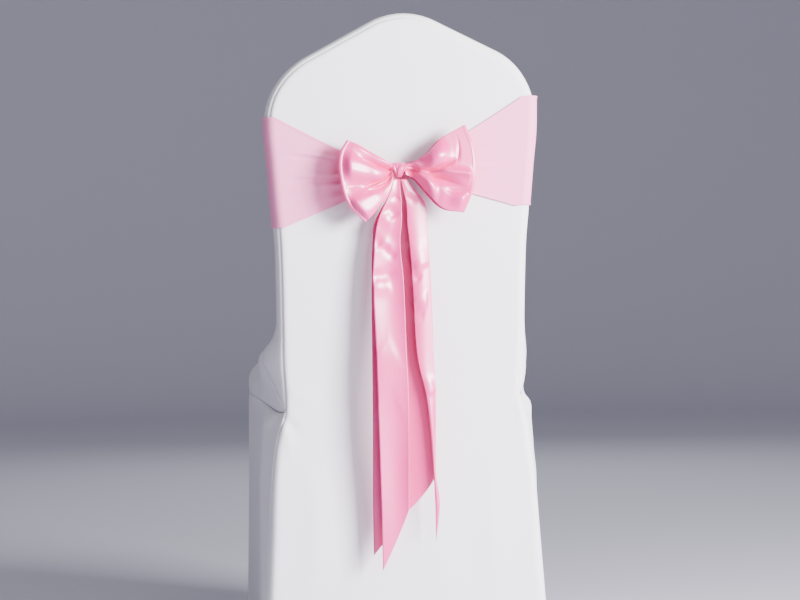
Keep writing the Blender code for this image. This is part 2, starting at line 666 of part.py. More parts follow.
make_outside_back(finishes["white_knit"])
seat_seam, front_seam = make_inside_back_and_seat(finishes["white_knit"])
make_side_skirts(seat_seam, front_seam, finishes["white_knit"])
make_band(finishes["pink_knit"])
make_loop("bow_loop_left", {"rows": LEFT_LOOP_ROWS, "reach": LEFT_REACH_ROWS}, -1, finishes["pink_satin"])
make_loop("bow_loop_right", {"rows": RIGHT_LOOP_ROWS, "reach": RIGHT_REACH_ROWS}, 1, finishes["pink_satin"])
make_knot(finishes["pink_satin"])
make_tail("tail_left", LEFT_TAIL_ROWS, LEFT_TAIL_ENDS, finishes["pink_satin"])
make_tail("tail_right", RIGHT_TAIL_ROWS, RIGHT_TAIL_ENDS, finishes["pink_satin"])
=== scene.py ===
# %% [markdown]
# # A chair cover with a sash, tied in a bow
#
# The real object is a stretch-knit cover for a crown-back banquet chair. A wide stretch band goes round
# the backrest, and a satin ribbon draws it together behind in a bow with two long tails. The frame
# below holds the plain solids that give each piece its size and place. Each step after it lays a finer
# cloth on one of them.

# %% Load the frame
import math

import bmesh
import bpy
import numpy as np
from mathutils import Matrix, Vector
from mathutils.kdtree import KDTree


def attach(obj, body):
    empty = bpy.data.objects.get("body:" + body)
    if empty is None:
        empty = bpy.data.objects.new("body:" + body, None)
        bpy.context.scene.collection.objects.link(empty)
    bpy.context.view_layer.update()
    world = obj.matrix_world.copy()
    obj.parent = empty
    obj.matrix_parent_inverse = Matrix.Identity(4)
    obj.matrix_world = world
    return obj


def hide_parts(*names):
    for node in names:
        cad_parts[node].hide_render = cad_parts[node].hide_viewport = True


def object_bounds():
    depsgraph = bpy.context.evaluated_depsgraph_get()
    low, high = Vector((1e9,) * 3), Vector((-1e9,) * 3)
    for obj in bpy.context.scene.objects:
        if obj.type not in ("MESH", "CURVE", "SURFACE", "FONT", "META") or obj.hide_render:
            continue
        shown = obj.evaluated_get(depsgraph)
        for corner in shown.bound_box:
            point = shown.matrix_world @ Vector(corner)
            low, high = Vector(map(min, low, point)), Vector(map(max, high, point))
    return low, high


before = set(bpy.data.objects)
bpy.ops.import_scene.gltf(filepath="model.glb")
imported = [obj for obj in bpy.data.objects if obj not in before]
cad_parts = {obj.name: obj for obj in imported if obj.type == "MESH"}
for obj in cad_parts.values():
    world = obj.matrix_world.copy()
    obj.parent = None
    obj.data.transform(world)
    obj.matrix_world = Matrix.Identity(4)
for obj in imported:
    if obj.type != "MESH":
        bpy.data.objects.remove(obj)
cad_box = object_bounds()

BODY = "root"
print("frame box", [[round(v, 4) for v in corner] for corner in cad_box])

# %% [markdown]
# ## The camera
#
# A camera can be aimed with a Track To constraint, or by building its three axes by hand. The axes are
# built here, because that keeps the small roll that a hand-held camera has. The camera stands a little
# to the left of the cover's rear, level with its middle, and a long lens keeps the upright lines
# upright.

# %% Camera
CAMERA_AZIMUTH = math.radians(8.0)
CAMERA_ELEVATION = math.radians(0.3)
CAMERA_ROLL = math.radians(1.0)
CAMERA_DISTANCE = 3.0
CAMERA_LENS = 90.6
AIM = Vector((-0.0034, -0.186, 0.550))


def aim_camera():
    """A camera that looks at AIM along the azimuth, where azimuth 0 looks along +Y."""
    level = math.cos(CAMERA_ELEVATION)
    across, along = math.sin(CAMERA_AZIMUTH), math.cos(CAMERA_AZIMUTH)
    ahead = Vector((across * level, along * level, -math.sin(CAMERA_ELEVATION)))
    right = Vector((along, -across, 0.0))
    up = right.cross(ahead)
    rolled_right = right * math.cos(CAMERA_ROLL) - up * math.sin(CAMERA_ROLL)
    rolled_up = right * math.sin(CAMERA_ROLL) + up * math.cos(CAMERA_ROLL)
    camera = bpy.data.objects.new("camera", bpy.data.cameras.new("camera"))
    camera.data.lens = CAMERA_LENS
    axes = Matrix((rolled_right, rolled_up, -ahead)).transposed()
    camera.matrix_world = Matrix.Translation(AIM - ahead * CAMERA_DISTANCE) @ axes.to_4x4()
    bpy.context.scene.collection.objects.link(camera)
    bpy.context.scene.camera = camera
    return camera


camera = aim_camera()
print("camera at", [round(v, 3) for v in camera.matrix_world.translation])

# %% [markdown]
# ## Studio light and floor
#
# Satin shows its folds by what it reflects, so the light matters as much as the mesh. A key softbox
# stands to the right of the rear and throws the bow's soft shadow to the left. A weaker one, high
# behind, lights the crown and the folds from above. Two more and a pale world open the shadows on the
# left and in front. The floor is a very wide dish with a turned-up rim, so that every view ends on the
# same plain colour: its outline is one profile, turned round by a Screw modifier.

# %% Lights, world and floor
KEY_TURN = math.radians(45.0)
KEY_DISTANCE = 2.6
KEY_HEIGHT = 1.10
BACKREST_MIDDLE = (0.0, -0.2, 0.6)
KEY_PLACE = (
    KEY_DISTANCE * math.sin(KEY_TURN),
    BACKREST_MIDDLE[1] - KEY_DISTANCE * math.cos(KEY_TURN),
    KEY_HEIGHT,
)
# Each softbox: name, place, what it is aimed at, size, power and colour
SOFTBOXES = [
    ("key_softbox", KEY_PLACE, BACKREST_MIDDLE, 1.05, 345.0, (1.0, 0.985, 1.0)),
    ("rear_softbox", (0.6, -3.1, 2.0), BACKREST_MIDDLE, 1.2, 45.0, (0.99, 0.98, 1.0)),
    ("fill_softbox", (-2.6, -1.9, 1.6), (0.0, 0.0, 0.5), 2.2, 6.0, (0.95, 0.97, 1.0)),
    ("front_softbox", (0.6, 3.2, 2.2), (0.0, 0.1, 0.4), 2.0, 30.0, (1.0, 1.0, 1.0)),
]
WORLD_STRENGTH = 0.38
WORLD_COLOUR = (0.90, 0.91, 0.97)
FLOOR_RADIUS = 6.0
FLOOR_RIM = 3.0
FLOOR_WALL = 7.0
FLOOR_Z = -0.0005
FLOOR_STEPS = 96
RIM_POINTS = 13
FLOOR_COLOUR = (0.50, 0.49, 0.58)
FLOOR_ROUGHNESS = 0.9


def add_softbox(name, place, target, size, power, colour):
    """A square soft light that the camera doesn't see."""
    light = bpy.data.lights.new(name, "AREA")
    light.shape = "SQUARE"
    light.size = size
    light.energy = power
    light.color = colour
    lamp = bpy.data.objects.new(name, light)
    lamp.location = place
    lamp.rotation_euler = (Vector(target) - Vector(place)).to_track_quat("-Z", "Y").to_euler()
    lamp.visible_camera = False
    bpy.context.scene.collection.objects.link(lamp)
    return lamp


def plain_material(name, colour, roughness):
    material = bpy.data.materials.new(name)
    material.use_nodes = True
    shader = material.node_tree.nodes["Principled BSDF"]
    shader.inputs["Base Color"].default_value = (*colour, 1.0)
    shader.inputs["Roughness"].default_value = roughness
    return material


def make_floor():
    """A flat disc whose rim turns up into a wall, as one profile turned round the Z axis."""
    profile = [(0.0, 0.0, FLOOR_Z), (FLOOR_RADIUS, 0.0, FLOOR_Z)]
    for turn in np.linspace(0.0, math.pi / 2, RIM_POINTS)[1:]:
        profile.append((FLOOR_RADIUS + FLOOR_RIM * math.sin(turn), 0.0, FLOOR_RIM * (1 - math.cos(turn))))
    profile.append((FLOOR_RADIUS + FLOOR_RIM, 0.0, FLOOR_WALL))
    mesh = bpy.data.meshes.new("floor")
    mesh.from_pydata(profile, [(i, i + 1) for i in range(len(profile) - 1)], [])
    floor = bpy.data.objects.new("floor", mesh)
    bpy.context.scene.collection.objects.link(floor)
    turned = floor.modifiers.new("Turn", "SCREW")
    turned.steps = FLOOR_STEPS
    turned.render_steps = FLOOR_STEPS
    turned.use_smooth_shade = True
    turned.use_merge_vertices = True
    turned.merge_threshold = 0.0001
    mesh.materials.append(plain_material("studio_floor", FLOOR_COLOUR, FLOOR_ROUGHNESS))
    return floor


for softbox in SOFTBOXES:
    add_softbox(*softbox)

world = bpy.data.worlds.new("studio")
world.use_nodes = True
background = world.node_tree.nodes["Background"]
background.inputs["Color"].default_value = (*WORLD_COLOUR, 1.0)
background.inputs["Strength"].default_value = WORLD_STRENGTH
bpy.context.scene.world = world
make_floor()

# %% [markdown]
# ## Helpers: curves, grids and sheets
#
# Each cloth is a grid of points: a function works out where every point of the cut piece lies on the
# chair. Sculpting by hand or a cloth simulation could make such a surface too. A grid keeps the cloth's
# own two directions, so the knit runs the right way, and a seam of one piece can follow the seam of the
# next exactly. Creases are then raised on the grid along given lines, and a Solidify modifier
# gives the thickness.

# %% Curves through short tables
def smooth_through(xs, ys, x):
    """The value at x of a cubic curve through the points, which never swings past them. xs rise."""
    xs, ys = np.asarray(xs, float), np.asarray(ys, float)
    x = np.clip(np.asarray(x, float), xs[0], xs[-1])
    steps = np.diff(ys) / np.diff(xs)
    slopes = np.concatenate([[steps[0]], (steps[:-1] + steps[1:]) / 2, [steps[-1]]])
    slopes[np.concatenate([[False], steps[:-1] * steps[1:] <= 0, [False]])] = 0.0
    k = np.clip(np.searchsorted(xs, x, side="right") - 1, 0, len(xs) - 2)
    width = xs[k + 1] - xs[k]
    t = (x - xs[k]) / width
    start, end = (1 + 2 * t) * (1 - t) ** 2, t * t * (3 - 2 * t)
    leave, arrive = t * (1 - t) ** 2 * width, t * t * (t - 1) * width
    return start * ys[k] + end * ys[k + 1] + leave * slopes[k] + arrive * slopes[k + 1]


def read(rows, columns, key, wanted, at):
    """One named column of a table, at values of its key column."""
    keys = [row[columns.index(key)] for row in rows]
    values = [row[columns.index(wanted)] for row in rows]
    return smooth_through(keys, values, at)


def ease(value, low, high):
    """0 below low, 1 above high, and a smooth step between."""
    t = np.clip((value - low) / (high - low), 0.0, 1.0)
    return t * t * (3 - 2 * t)


def stack(*columns):
    """Points from x, y and z arrays of any matching shapes."""
    return np.stack(np.broadcast_arrays(*columns), axis=-1)


# %% Sheets of cloth
WELD_DISTANCE = 0.00002


def cloth(name, grids, finish, thickness, height=None, warp=None, closed=False):
    """A sheet through one or more welded grids (rows, columns, xyz).

    It looks out when rows run down and columns run right. height raises it along its normals, and warp
    moves it as a whole.
    """
    points, faces, flats, count = [], [], [], 0
    for grid in grids:
        rows, across = grid.shape[:2]
        index = np.arange(rows * across).reshape(rows, across) + count
        if closed:
            index = np.vstack([index, index[:1]])
        quads = np.stack([index[:-1, :-1], index[1:, :-1], index[1:, 1:], index[:-1, 1:]], axis=-1)
        points.append(grid.reshape(-1, 3))
        faces.append(quads.reshape(-1, 4))
        flats.append(flat_places(grid, closed).reshape(-1, 4, 2))
        count += rows * across
    mesh = bpy.data.meshes.new(name)
    mesh.from_pydata(np.vstack(points).tolist(), [], np.vstack(faces).tolist())
    cut = mesh.uv_layers.new(name="Cut")
    cut.data.foreach_set("uv", np.vstack(flats).reshape(-1).astype(np.float32))
    piece = bpy.data.objects.new(name, mesh)
    bpy.context.scene.collection.objects.link(piece)
    weld(mesh)
    raise_cloth(mesh, height, warp)
    mesh.shade_smooth()
    mesh.materials.append(finish)
    solid = piece.modifiers.new("Thickness", "SOLIDIFY")
    solid.thickness = thickness
    solid.offset = -1.0
    return piece


def flat_places(grid, closed):
    """For each corner of each quad, where it lies on the flat cut piece, in metres."""
    if closed:
        grid = np.concatenate([grid, grid[:1]])
    down = np.linalg.norm(np.diff(grid, axis=0), axis=2).mean(axis=1)
    right = np.linalg.norm(np.diff(grid, axis=1), axis=2)
    v = -np.concatenate([[0.0], np.cumsum(down)])[:, None] + 0.0 * grid[:, :, 0]
    u = np.concatenate([np.zeros((len(grid), 1)), np.cumsum(right, axis=1)], axis=1)
    flat = np.stack([u, v], axis=-1)
    return np.stack([flat[:-1, :-1], flat[1:, :-1], flat[1:, 1:], flat[:-1, 1:]], axis=2)


def weld(mesh):
    """Joins the points that grids share, and those that meet at one place."""
    bm = bmesh.new()
    bm.from_mesh(mesh)
    bmesh.ops.remove_doubles(bm, verts=bm.verts, dist=WELD_DISTANCE)
    bmesh.ops.dissolve_degenerate(bm, dist=WELD_DISTANCE, edges=bm.edges)
    bm.to_mesh(mesh)
    bm.free()


def read_points(mesh, what="co"):
    values = np.empty(len(mesh.vertices) * 3, np.float32)
    if what == "co":
        mesh.vertices.foreach_get("co", values)
    else:
        mesh.vertex_normals.foreach_get("vector", values)
    return values.reshape(-1, 3).astype(float)


def raise_cloth(mesh, height, warp):
    """Lifts each point along its normal, then moves it by the warp."""
    points = read_points(mesh)
    if height:
        points = points + read_points(mesh, "normal") * height(points)[:, None]
    if warp:
        points = warp(points)
    mesh.vertices.foreach_set("co", points.reshape(-1).astype(np.float32))
    mesh.update()


# %% Creases
CREASE_PLACES = 28  # short steps in which a crease's line is read


def crease(points, through, width, height, ends=(0.3, 0.3)):
    """Height of a soft ridge, or a trough where it is negative, along a smooth line through a few places.

    ends are the shares of the line over which it fades in and out. The line is read at short steps, and a
    point's height falls off with its distance from the nearest of them.
    """
    through = np.asarray(through, float)
    numbers = np.arange(len(through))
    along = np.linspace(0.0, len(through) - 1.0, CREASE_PLACES)
    line = np.stack([smooth_through(numbers, through[:, k], along) for k in range(3)], axis=-1)
    near = np.full(len(points), np.inf)
    place = np.zeros(len(points))
    for k in range(len(line) - 1):
        step = line[k + 1] - line[k]
        t = np.clip((points - line[k]) @ step / (step @ step), 0.0, 1.0)
        away = np.linalg.norm(points - line[k] - t[:, None] * step, axis=1)
        closer = away < near
        near[closer] = away[closer]
        place[closer] = ((k + t) / (len(line) - 1))[closer]
    fade = ease(place, 0.0, ends[0]) if ends[0] else 1.0
    fade = fade * (ease(1 - place, 0.0, ends[1]) if ends[1] else 1.0)
    return height * np.exp(-((near / width) ** 2)) * fade


def creases(points, lines):
    """The sum of several creases: each line is (through, width, height), with or without its ends."""
    return sum(crease(points, *line) for line in lines)


def triangles(piece):
    """How many triangles a piece has with its modifiers applied."""
    shown = piece.evaluated_get(bpy.context.evaluated_depsgraph_get()).to_mesh()
    shown.calc_loop_triangles()
    return len(shown.loop_triangles)


def declare(piece, node, slot, flat, held, **facts):
    """Attaches a piece to its body and hides the solid it stands for. Finish and flat size aren't used."""
    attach(piece, BODY)
    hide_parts(node)
    print(f"{piece.name}: {triangles(piece)} triangles")


# %% [markdown]
# ## Finishes
#
# Three cloths are used: a white stretch knit, a pink stretch knit and a pink satin ribbon. Seen close
# up, a jersey knit is rows of small V-shaped stitches, and satin is long threads that float side by
# side. Both could be image textures. Here they are shader node groups that read the cloth's flat cut
# piece, so the stitches keep their size and direction on every piece, and one group serves several
# cloths.

# %% Node group helpers
def new_group(name, inputs, outputs):
    """A shader node group with named sockets: inputs are (name, type, value), outputs are (name, type)."""
    group = bpy.data.node_groups.new(name, "ShaderNodeTree")
    for label, kind, value in inputs:
        socket = group.interface.new_socket(label, in_out="INPUT", socket_type="NodeSocket" + kind)
        if value is not None:
            socket.default_value = value
    for label, kind in outputs:
        group.interface.new_socket(label, in_out="OUTPUT", socket_type="NodeSocket" + kind)
    return group, group.nodes.new("NodeGroupInput"), group.nodes.new("NodeGroupOutput")


def feed(tree, socket, value):
    """Joins a socket to another node's output, or sets it to a number."""
    if isinstance(value, bpy.types.NodeSocket):
        tree.links.new(value, socket)
    else:
        socket.default_value = value


def math_node(tree, operation, first, second=0.0, third=None):
    node = tree.nodes.new("ShaderNodeMath")
    node.operation = operation
    feed(tree, node.inputs[0], first)
    feed(tree, node.inputs[1], second)
    if third is not None:
        feed(tree, node.inputs[2], third)
    return node.outputs[0]


def noise_node(tree, vector, scale, detail=2.0, roughness=0.5):
    node = tree.nodes.new("ShaderNodeTexNoise")
    feed(tree, node.inputs["Vector"], vector)
    feed(tree, node.inputs["Scale"], scale)
    node.inputs["Detail"].default_value = detail
    node.inputs["Roughness"].default_value = roughness
    return node.outputs["Fac"]


def range_node(tree, value, low, high, to_low, to_high):
    node = tree.nodes.new("ShaderNodeMapRange")
    for socket, number in zip(node.inputs, (value, low, high, to_low, to_high)):
        feed(tree, socket, number)
    return node.outputs[0]


# %% [markdown]
# ### Jersey stitches
#
# A jersey stitch is a V: two short strands that lean towards each other. A zigzag across the cloth
# shifts the rows up and down, and a ripple along the shifted rows gives the strands. Sine ripples are
# enough at this size, and they stay cheap, where real looped curves would need millions of faces. The
# same height also darkens the knit's colour a little in the hollows between the stitches: painted shade.

# %% Node group: jersey stitches
# Painted shade: the knit's colour is scaled from 0.94 in the hollows between the stitches to 1 on top.
PAINTED_STITCH_SHADE = (0.94, 1.0)  # between the stitches, and on top of them


def make_jersey_group():
    group, given, made = new_group(
        "jersey stitches",
        [("Cut", "Vector", None), ("Stitch Width", "Float", 0.0008), ("Stitch Height", "Float", 0.0006)],
        [("Height", "Float"), ("Shade", "Float")],
    )
    split = group.nodes.new("ShaderNodeSeparateXYZ")
    group.links.new(given.outputs["Cut"], split.inputs[0])
    column = math_node(group, "DIVIDE", split.outputs["X"], given.outputs["Stitch Width"])
    row = math_node(group, "DIVIDE", split.outputs["Y"], given.outputs["Stitch Height"])
    lean = math_node(group, "PINGPONG", column, 0.5)
    shifted = math_node(group, "ADD", row, lean)
    strand = math_node(group, "SINE", math_node(group, "MULTIPLY", shifted, 2 * math.pi))
    gap = math_node(group, "SINE", math_node(group, "MULTIPLY", lean, 2 * math.pi))
    height = math_node(group, "MULTIPLY", math_node(group, "MULTIPLY_ADD", strand, 0.5, 0.5), gap)
    group.links.new(height, made.inputs["Height"])
    # Painted shade: the colour is darker where the stitch height is low.
    group.links.new(range_node(group, height, 0.0, 1.0, *PAINTED_STITCH_SHADE), made.inputs["Shade"])
    return group


jersey_group = make_jersey_group()
print(jersey_group.name, "has", len(jersey_group.nodes), "nodes")


# %% [markdown]
# ### Satin floats
#
# In satin the warp threads pass over several weft threads at a time, which is what makes it gloss. Seen
# close up it is fine long lines with a few thicker weft threads pressing through. Two stretched noises
# do this: one runs along the ribbon, and a fainter one across it. Their height also darkens the colour
# of the low threads and lightens the high ones a little: painted shade and painted highlight.

# %% Node group: satin floats
FLOAT_SCALES = ((1.0, 0.04), (0.02, 0.5))  # long threads down the ribbon, then thick ones across it
# Painted shade and highlight: the satin's colour is scaled from 0.93 on low threads to 1.03 on high ones.
PAINTED_FLOAT_SHADE = (0.93, 1.03)
FLOAT_ROUGHNESS = (-0.03, 0.03)


def make_satin_group():
    group, given, made = new_group(
        "satin floats",
        [("Cut", "Vector", None), ("Thread Width", "Float", 0.0003), ("Slub", "Float", 0.5)],
        [("Height", "Float"), ("Shade", "Float"), ("Roughness", "Float")],
    )
    split = group.nodes.new("ShaderNodeSeparateXYZ")
    group.links.new(given.outputs["Cut"], split.inputs[0])
    across = math_node(group, "DIVIDE", split.outputs["X"], given.outputs["Thread Width"])
    along = math_node(group, "DIVIDE", split.outputs["Y"], given.outputs["Thread Width"])
    heights = []
    for x_scale, y_scale in FLOAT_SCALES:
        place = group.nodes.new("ShaderNodeCombineXYZ")
        group.links.new(math_node(group, "MULTIPLY", across, x_scale), place.inputs["X"])
        group.links.new(math_node(group, "MULTIPLY", along, y_scale), place.inputs["Y"])
        heights.append(noise_node(group, place.outputs[0], 1.0, detail=1.0))
    cross = math_node(group, "MULTIPLY", heights[1], given.outputs["Slub"])
    height = math_node(group, "ADD", heights[0], cross)
    group.links.new(height, made.inputs["Height"])
    # Painted shade and highlight: the colour follows the float height.
    group.links.new(range_node(group, height, 0.3, 1.0, *PAINTED_FLOAT_SHADE), made.inputs["Shade"])
    group.links.new(range_node(group, heights[0], 0.2, 0.8, *FLOAT_ROUGHNESS), made.inputs["Roughness"])
    return group


satin_group = make_satin_group()
print(satin_group.name, "has", len(satin_group.nodes), "nodes")


# %% [markdown]
# ### Dye clouds and painted thread shade
#
# No bought cloth has one even colour: dye takes a little unevenly, and handling leaves faint clouds. A
# broad noise over the cut piece, kept within a few per cent, is placed in every material. The group then
# scales the colour by the painted shade of the stitches or threads, which it is given.

# %% Node group: dye clouds and painted thread shade
def make_dye_and_shade_group():
    group, given, made = new_group(
        "dye clouds and painted shade",
        [
            ("Cut", "Vector", None),
            ("Colour", "Color", (0.8, 0.8, 0.8, 1.0)),
            ("Deep Colour", "Color", (0.7, 0.7, 0.7, 1.0)),
            ("Cloud Size", "Float", 9.0),
            ("Strength", "Float", 0.3),
            ("Painted Thread Shade", "Float", 1.0),
        ],
        [("Colour", "Color"), ("Cloud", "Float")],
    )
    cloud = noise_node(group, given.outputs["Cut"], given.outputs["Cloud Size"], detail=4.0, roughness=0.6)
    spread = range_node(group, cloud, 0.3, 0.7, 0.0, 1.0)
    mix = group.nodes.new("ShaderNodeMix")
    mix.data_type = "RGBA"
    group.links.new(math_node(group, "MULTIPLY", spread, given.outputs["Strength"]), mix.inputs["Factor"])
    group.links.new(given.outputs["Colour"], mix.inputs[6])
    group.links.new(given.outputs["Deep Colour"], mix.inputs[7])
    # Painted shade: the dyed colour is scaled by the stitch or float shade that comes in.
    shade = group.nodes.new("ShaderNodeVectorMath")
    shade.operation = "SCALE"
    group.links.new(mix.outputs[2], shade.inputs[0])
    group.links.new(given.outputs["Painted Thread Shade"], shade.inputs["Scale"])
    group.links.new(shade.outputs[0], made.inputs["Colour"])
    group.links.new(spread, made.inputs["Cloud"])
    return group


dye_and_shade_group = make_dye_and_shade_group()
print("groups", [group.name for group in bpy.data.node_groups])

# %% [markdown]
# ## Materials from the groups
#
# The shader stays in the material, and the groups only feed it colour, roughness and height. Sheen
# gives a knit the soft light rim of its fibre ends. The satin has hardly any of it: it has a lower
# roughness, stretched along the ribbon's width by the shader's own anisotropy, and a thin coat, whose
# tighter reflection gives the bright spots on each puff.

# %% Material helpers
def add_group(tree, group, cut, values):
    """Places a group in a material and sets its inputs, by number or by link."""
    node = tree.nodes.new("ShaderNodeGroup")
    node.node_tree = group
    tree.links.new(cut, node.inputs["Cut"])
    for name, value in values.items():
        feed(tree, node.inputs[name], value)
    return node


def start_material(name):
    """A new material, its shader, and the place on the cut piece that the groups read."""
    material = bpy.data.materials.new(name)
    material.use_nodes = True
    tree = material.node_tree
    place = tree.nodes.new("ShaderNodeUVMap")
    place.uv_map = "Cut"
    return material, tree, tree.nodes["Principled BSDF"], place.outputs[0]


def add_bump(tree, shader, height, distance, strength):
    """Turns a height into a bump on the shader's normal."""
    bump = tree.nodes.new("ShaderNodeBump")
    bump.inputs["Distance"].default_value = distance
    bump.inputs["Strength"].default_value = strength
    tree.links.new(height, bump.inputs["Height"])
    tree.links.new(bump.outputs[0], shader.inputs["Normal"])


# %% Knit finishes
KNIT_BUMP = {"distance": 0.0001, "strength": 0.45}
STITCH_RATIO = 0.75  # a stitch's height to its width
CLOUD_ROUGHNESS = 0.03


def make_knit(name, colours, stitch, roughness, sheen, sheen_tint):
    """A knit's material: its two dye colours, the width of a stitch in metres, and its surface."""
    material, tree, shader, cut = start_material(name)
    stitch_sizes = {"Stitch Width": stitch, "Stitch Height": stitch * STITCH_RATIO}
    stitches = add_group(tree, jersey_group, cut, stitch_sizes)
    colour, deep = ((*colour, 1.0) for colour in colours)
    # The stitch group's painted shade darkens the knit's colour between the stitches.
    dyes = {"Colour": colour, "Deep Colour": deep, "Painted Thread Shade": stitches.outputs["Shade"]}
    dye = add_group(tree, dye_and_shade_group, cut, dyes)
    tree.links.new(dye.outputs["Colour"], shader.inputs["Base Color"])
    low, high = roughness - CLOUD_ROUGHNESS, roughness + CLOUD_ROUGHNESS
    rough = range_node(tree, dye.outputs["Cloud"], 0.0, 1.0, low, high)
    tree.links.new(rough, shader.inputs["Roughness"])
    add_bump(tree, shader, stitches.outputs["Height"], **KNIT_BUMP)
    shader.inputs["Sheen Weight"].default_value = sheen
    shader.inputs["Sheen Roughness"].default_value = 0.5
    shader.inputs["Sheen Tint"].default_value = (*sheen_tint, 1.0)
    shader.inputs["Specular IOR Level"].default_value = 0.3
    return material


WHITE_DYES = ((0.85, 0.83, 0.87), (0.83, 0.81, 0.86))
PINK_DYES = ((0.99, 0.31, 0.56), (0.98, 0.28, 0.53))
cover_knit = make_knit("white_stretch_knit", WHITE_DYES, 0.0009, 0.78, 0.25, (1, 1, 1))
sash_knit = make_knit("pink_stretch_knit", PINK_DYES, 0.0010, 0.72, 0.30, (1, 0.85, 0.9))
print("knits", [cover_knit.name, sash_knit.name])

# %% Satin finish
SATIN_BUMP = {"distance": 0.00006, "strength": 0.5}
SATIN_THREAD = {"Thread Width": 0.0004, "Slub": 0.6}
SATIN_CLOUD_SIZE = 14.0
# What is the same all over the satin, on the shader's own sockets
SATIN_SURFACE = {
    "Specular IOR Level": 0.8,
    "Anisotropic": 0.35,
    "Coat Weight": 0.60,
    "Coat Roughness": 0.27,
    "Sheen Weight": 0.06,
    "Sheen Roughness": 0.35,
}


def make_satin(name, colours, roughness):
    """The satin's material: its two dye colours and its roughness."""
    material, tree, shader, cut = start_material(name)
    floats = add_group(tree, satin_group, cut, SATIN_THREAD)
    colour, deep = ((*colour, 1.0) for colour in colours)
    dyes = {"Colour": colour, "Deep Colour": deep, "Cloud Size": SATIN_CLOUD_SIZE}
    # The float group's painted shade and highlight scale the satin's colour.
    dye = add_group(tree, dye_and_shade_group, cut, {**dyes, "Painted Thread Shade": floats.outputs["Shade"]})
    tree.links.new(dye.outputs["Colour"], shader.inputs["Base Color"])
    rough = math_node(tree, "ADD", floats.outputs["Roughness"], roughness)
    tree.links.new(rough, shader.inputs["Roughness"])
    add_bump(tree, shader, floats.outputs["Height"], **SATIN_BUMP)
    for socket, value in SATIN_SURFACE.items():
        shader.inputs[socket].default_value = value
    return material


satin = make_satin("pink_satin", ((0.88, 0.048, 0.29), (0.85, 0.040, 0.26)), 0.36)
print("materials", [m.name for m in (cover_knit, sash_knit, satin)])

# %% [markdown]
# ## The cover's outline
#
# A cutter draws the back panel as half an outline and mirrors it: a rounded peak, a straight slope, a
# rounded corner and a long side that draws in at the waist and spreads to the floor. The outline is
# worked out from the same few sizes as the solids in the frame, so the fine cloth and the solid fit
# each other.

# %% Sizes of the cover
HEIGHT = cad_box[1][2]
WAIST_Z = 0.405
SEAT_Z = 0.457
SEAT_DEPTH = 0.443
REAR_Y = -0.183
CROWN_TOP_RADIUS = 0.110
CROWN_SLOPE = math.radians(27.0)
CROWN_CORNER_RADIUS = 0.112
BACK_HALF_WIDTH = 0.2030
EDGE_RADIUS = 0.015
SPINE_DROP = 0.075
WAIST_SEAM_ANGLE = 32.0
FLOOR_SEAM_ANGLE = 78.0
SEAT_SHOULDER = 0.045
SEAT_FRONT_RADIUS = 0.028
FRONT_CORNER_RADIUS = 0.022
HEM_ARCH = 0.040
ARCH_STARTS_Z = 0.30
COVER_THICKNESS = 0.0010
CLOTH_STEP = 0.0042  # spacing of the cover's grid

SHOULDER_START_X = BACK_HALF_WIDTH - CROWN_CORNER_RADIUS * (1 - math.sin(CROWN_SLOPE))
SHOULDER_START_Z = (
    HEIGHT
    - CROWN_TOP_RADIUS * (1 - math.cos(CROWN_SLOPE))
    - (SHOULDER_START_X - CROWN_TOP_RADIUS * math.sin(CROWN_SLOPE)) * math.tan(CROWN_SLOPE)
)
SHOULDER_Z = SHOULDER_START_Z - CROWN_CORNER_RADIUS * math.cos(CROWN_SLOPE)

# The rear face by height: half width, depth of the rear face, thickness of the backrest
REAR_COLUMNS = ("z", "half_width", "rear", "thick")
REAR_ROWS = [
    (0.000, 0.2160, -0.0200, 0.040),
    (0.100, 0.2115, -0.0150, 0.042),
    (0.200, 0.2060, -0.0100, 0.044),
    (0.300, 0.2005, -0.0040, 0.046),
    (0.360, 0.1935, -0.0010, 0.048),
    (WAIST_Z, 0.1838, -0.0010, 0.048),
    (0.440, 0.1848, -0.0035, 0.048),
    (0.500, 0.1867, -0.0090, 0.047),
    (0.580, 0.1877, -0.0165, 0.044),
    (0.640, 0.1895, -0.0220, 0.042),
    (0.690, 0.1935, -0.0270, 0.040),
    (0.750, 0.1982, -0.0325, 0.039),
    (SHOULDER_Z, BACK_HALF_WIDTH, -0.0380, 0.038),
    (HEIGHT, BACK_HALF_WIDTH, -0.0530, 0.036),
]

# The seat's sides from the backrest forward: depth, half width, top of the side, height of the side seam
SEAT_COLUMNS = ("depth", "half_width", "side_top", "seam_z")
SEAT_ROWS = [
    (0.110, 0.2035, 0.448, 0.4120),
    (0.170, 0.2055, 0.440, 0.4135),
    (0.250, 0.2060, 0.435, 0.4135),
    (0.330, 0.2050, 0.431, 0.4125),
    (0.390, 0.2035, 0.428, 0.4105),
]

# The front legs' outside by height: half width and depth of the front drop
FRONT_COLUMNS = ("z", "half_width", "depth")
FRONT_ROWS = [
    (0.000, 0.2120, SEAT_DEPTH + 0.006),
    (0.100, 0.2095, SEAT_DEPTH + 0.004),
    (0.300, 0.2050, SEAT_DEPTH + 0.001),
    (0.430, 0.2035, SEAT_DEPTH),
]


def rear_at(wanted, z):
    return read(REAR_ROWS, REAR_COLUMNS, "z", wanted, z)


def front_at(wanted, z):
    return read(FRONT_ROWS, FRONT_COLUMNS, "z", wanted, z)


def seat_at(wanted, depth):
    return read(SEAT_ROWS, SEAT_COLUMNS, "depth", wanted, depth)


def count_of(length, step=CLOTH_STEP):
    return max(2, int(round(length / step)))


# %% Stations on the outline
SLOPE_STEP = 0.002  # the height over which a slope is read


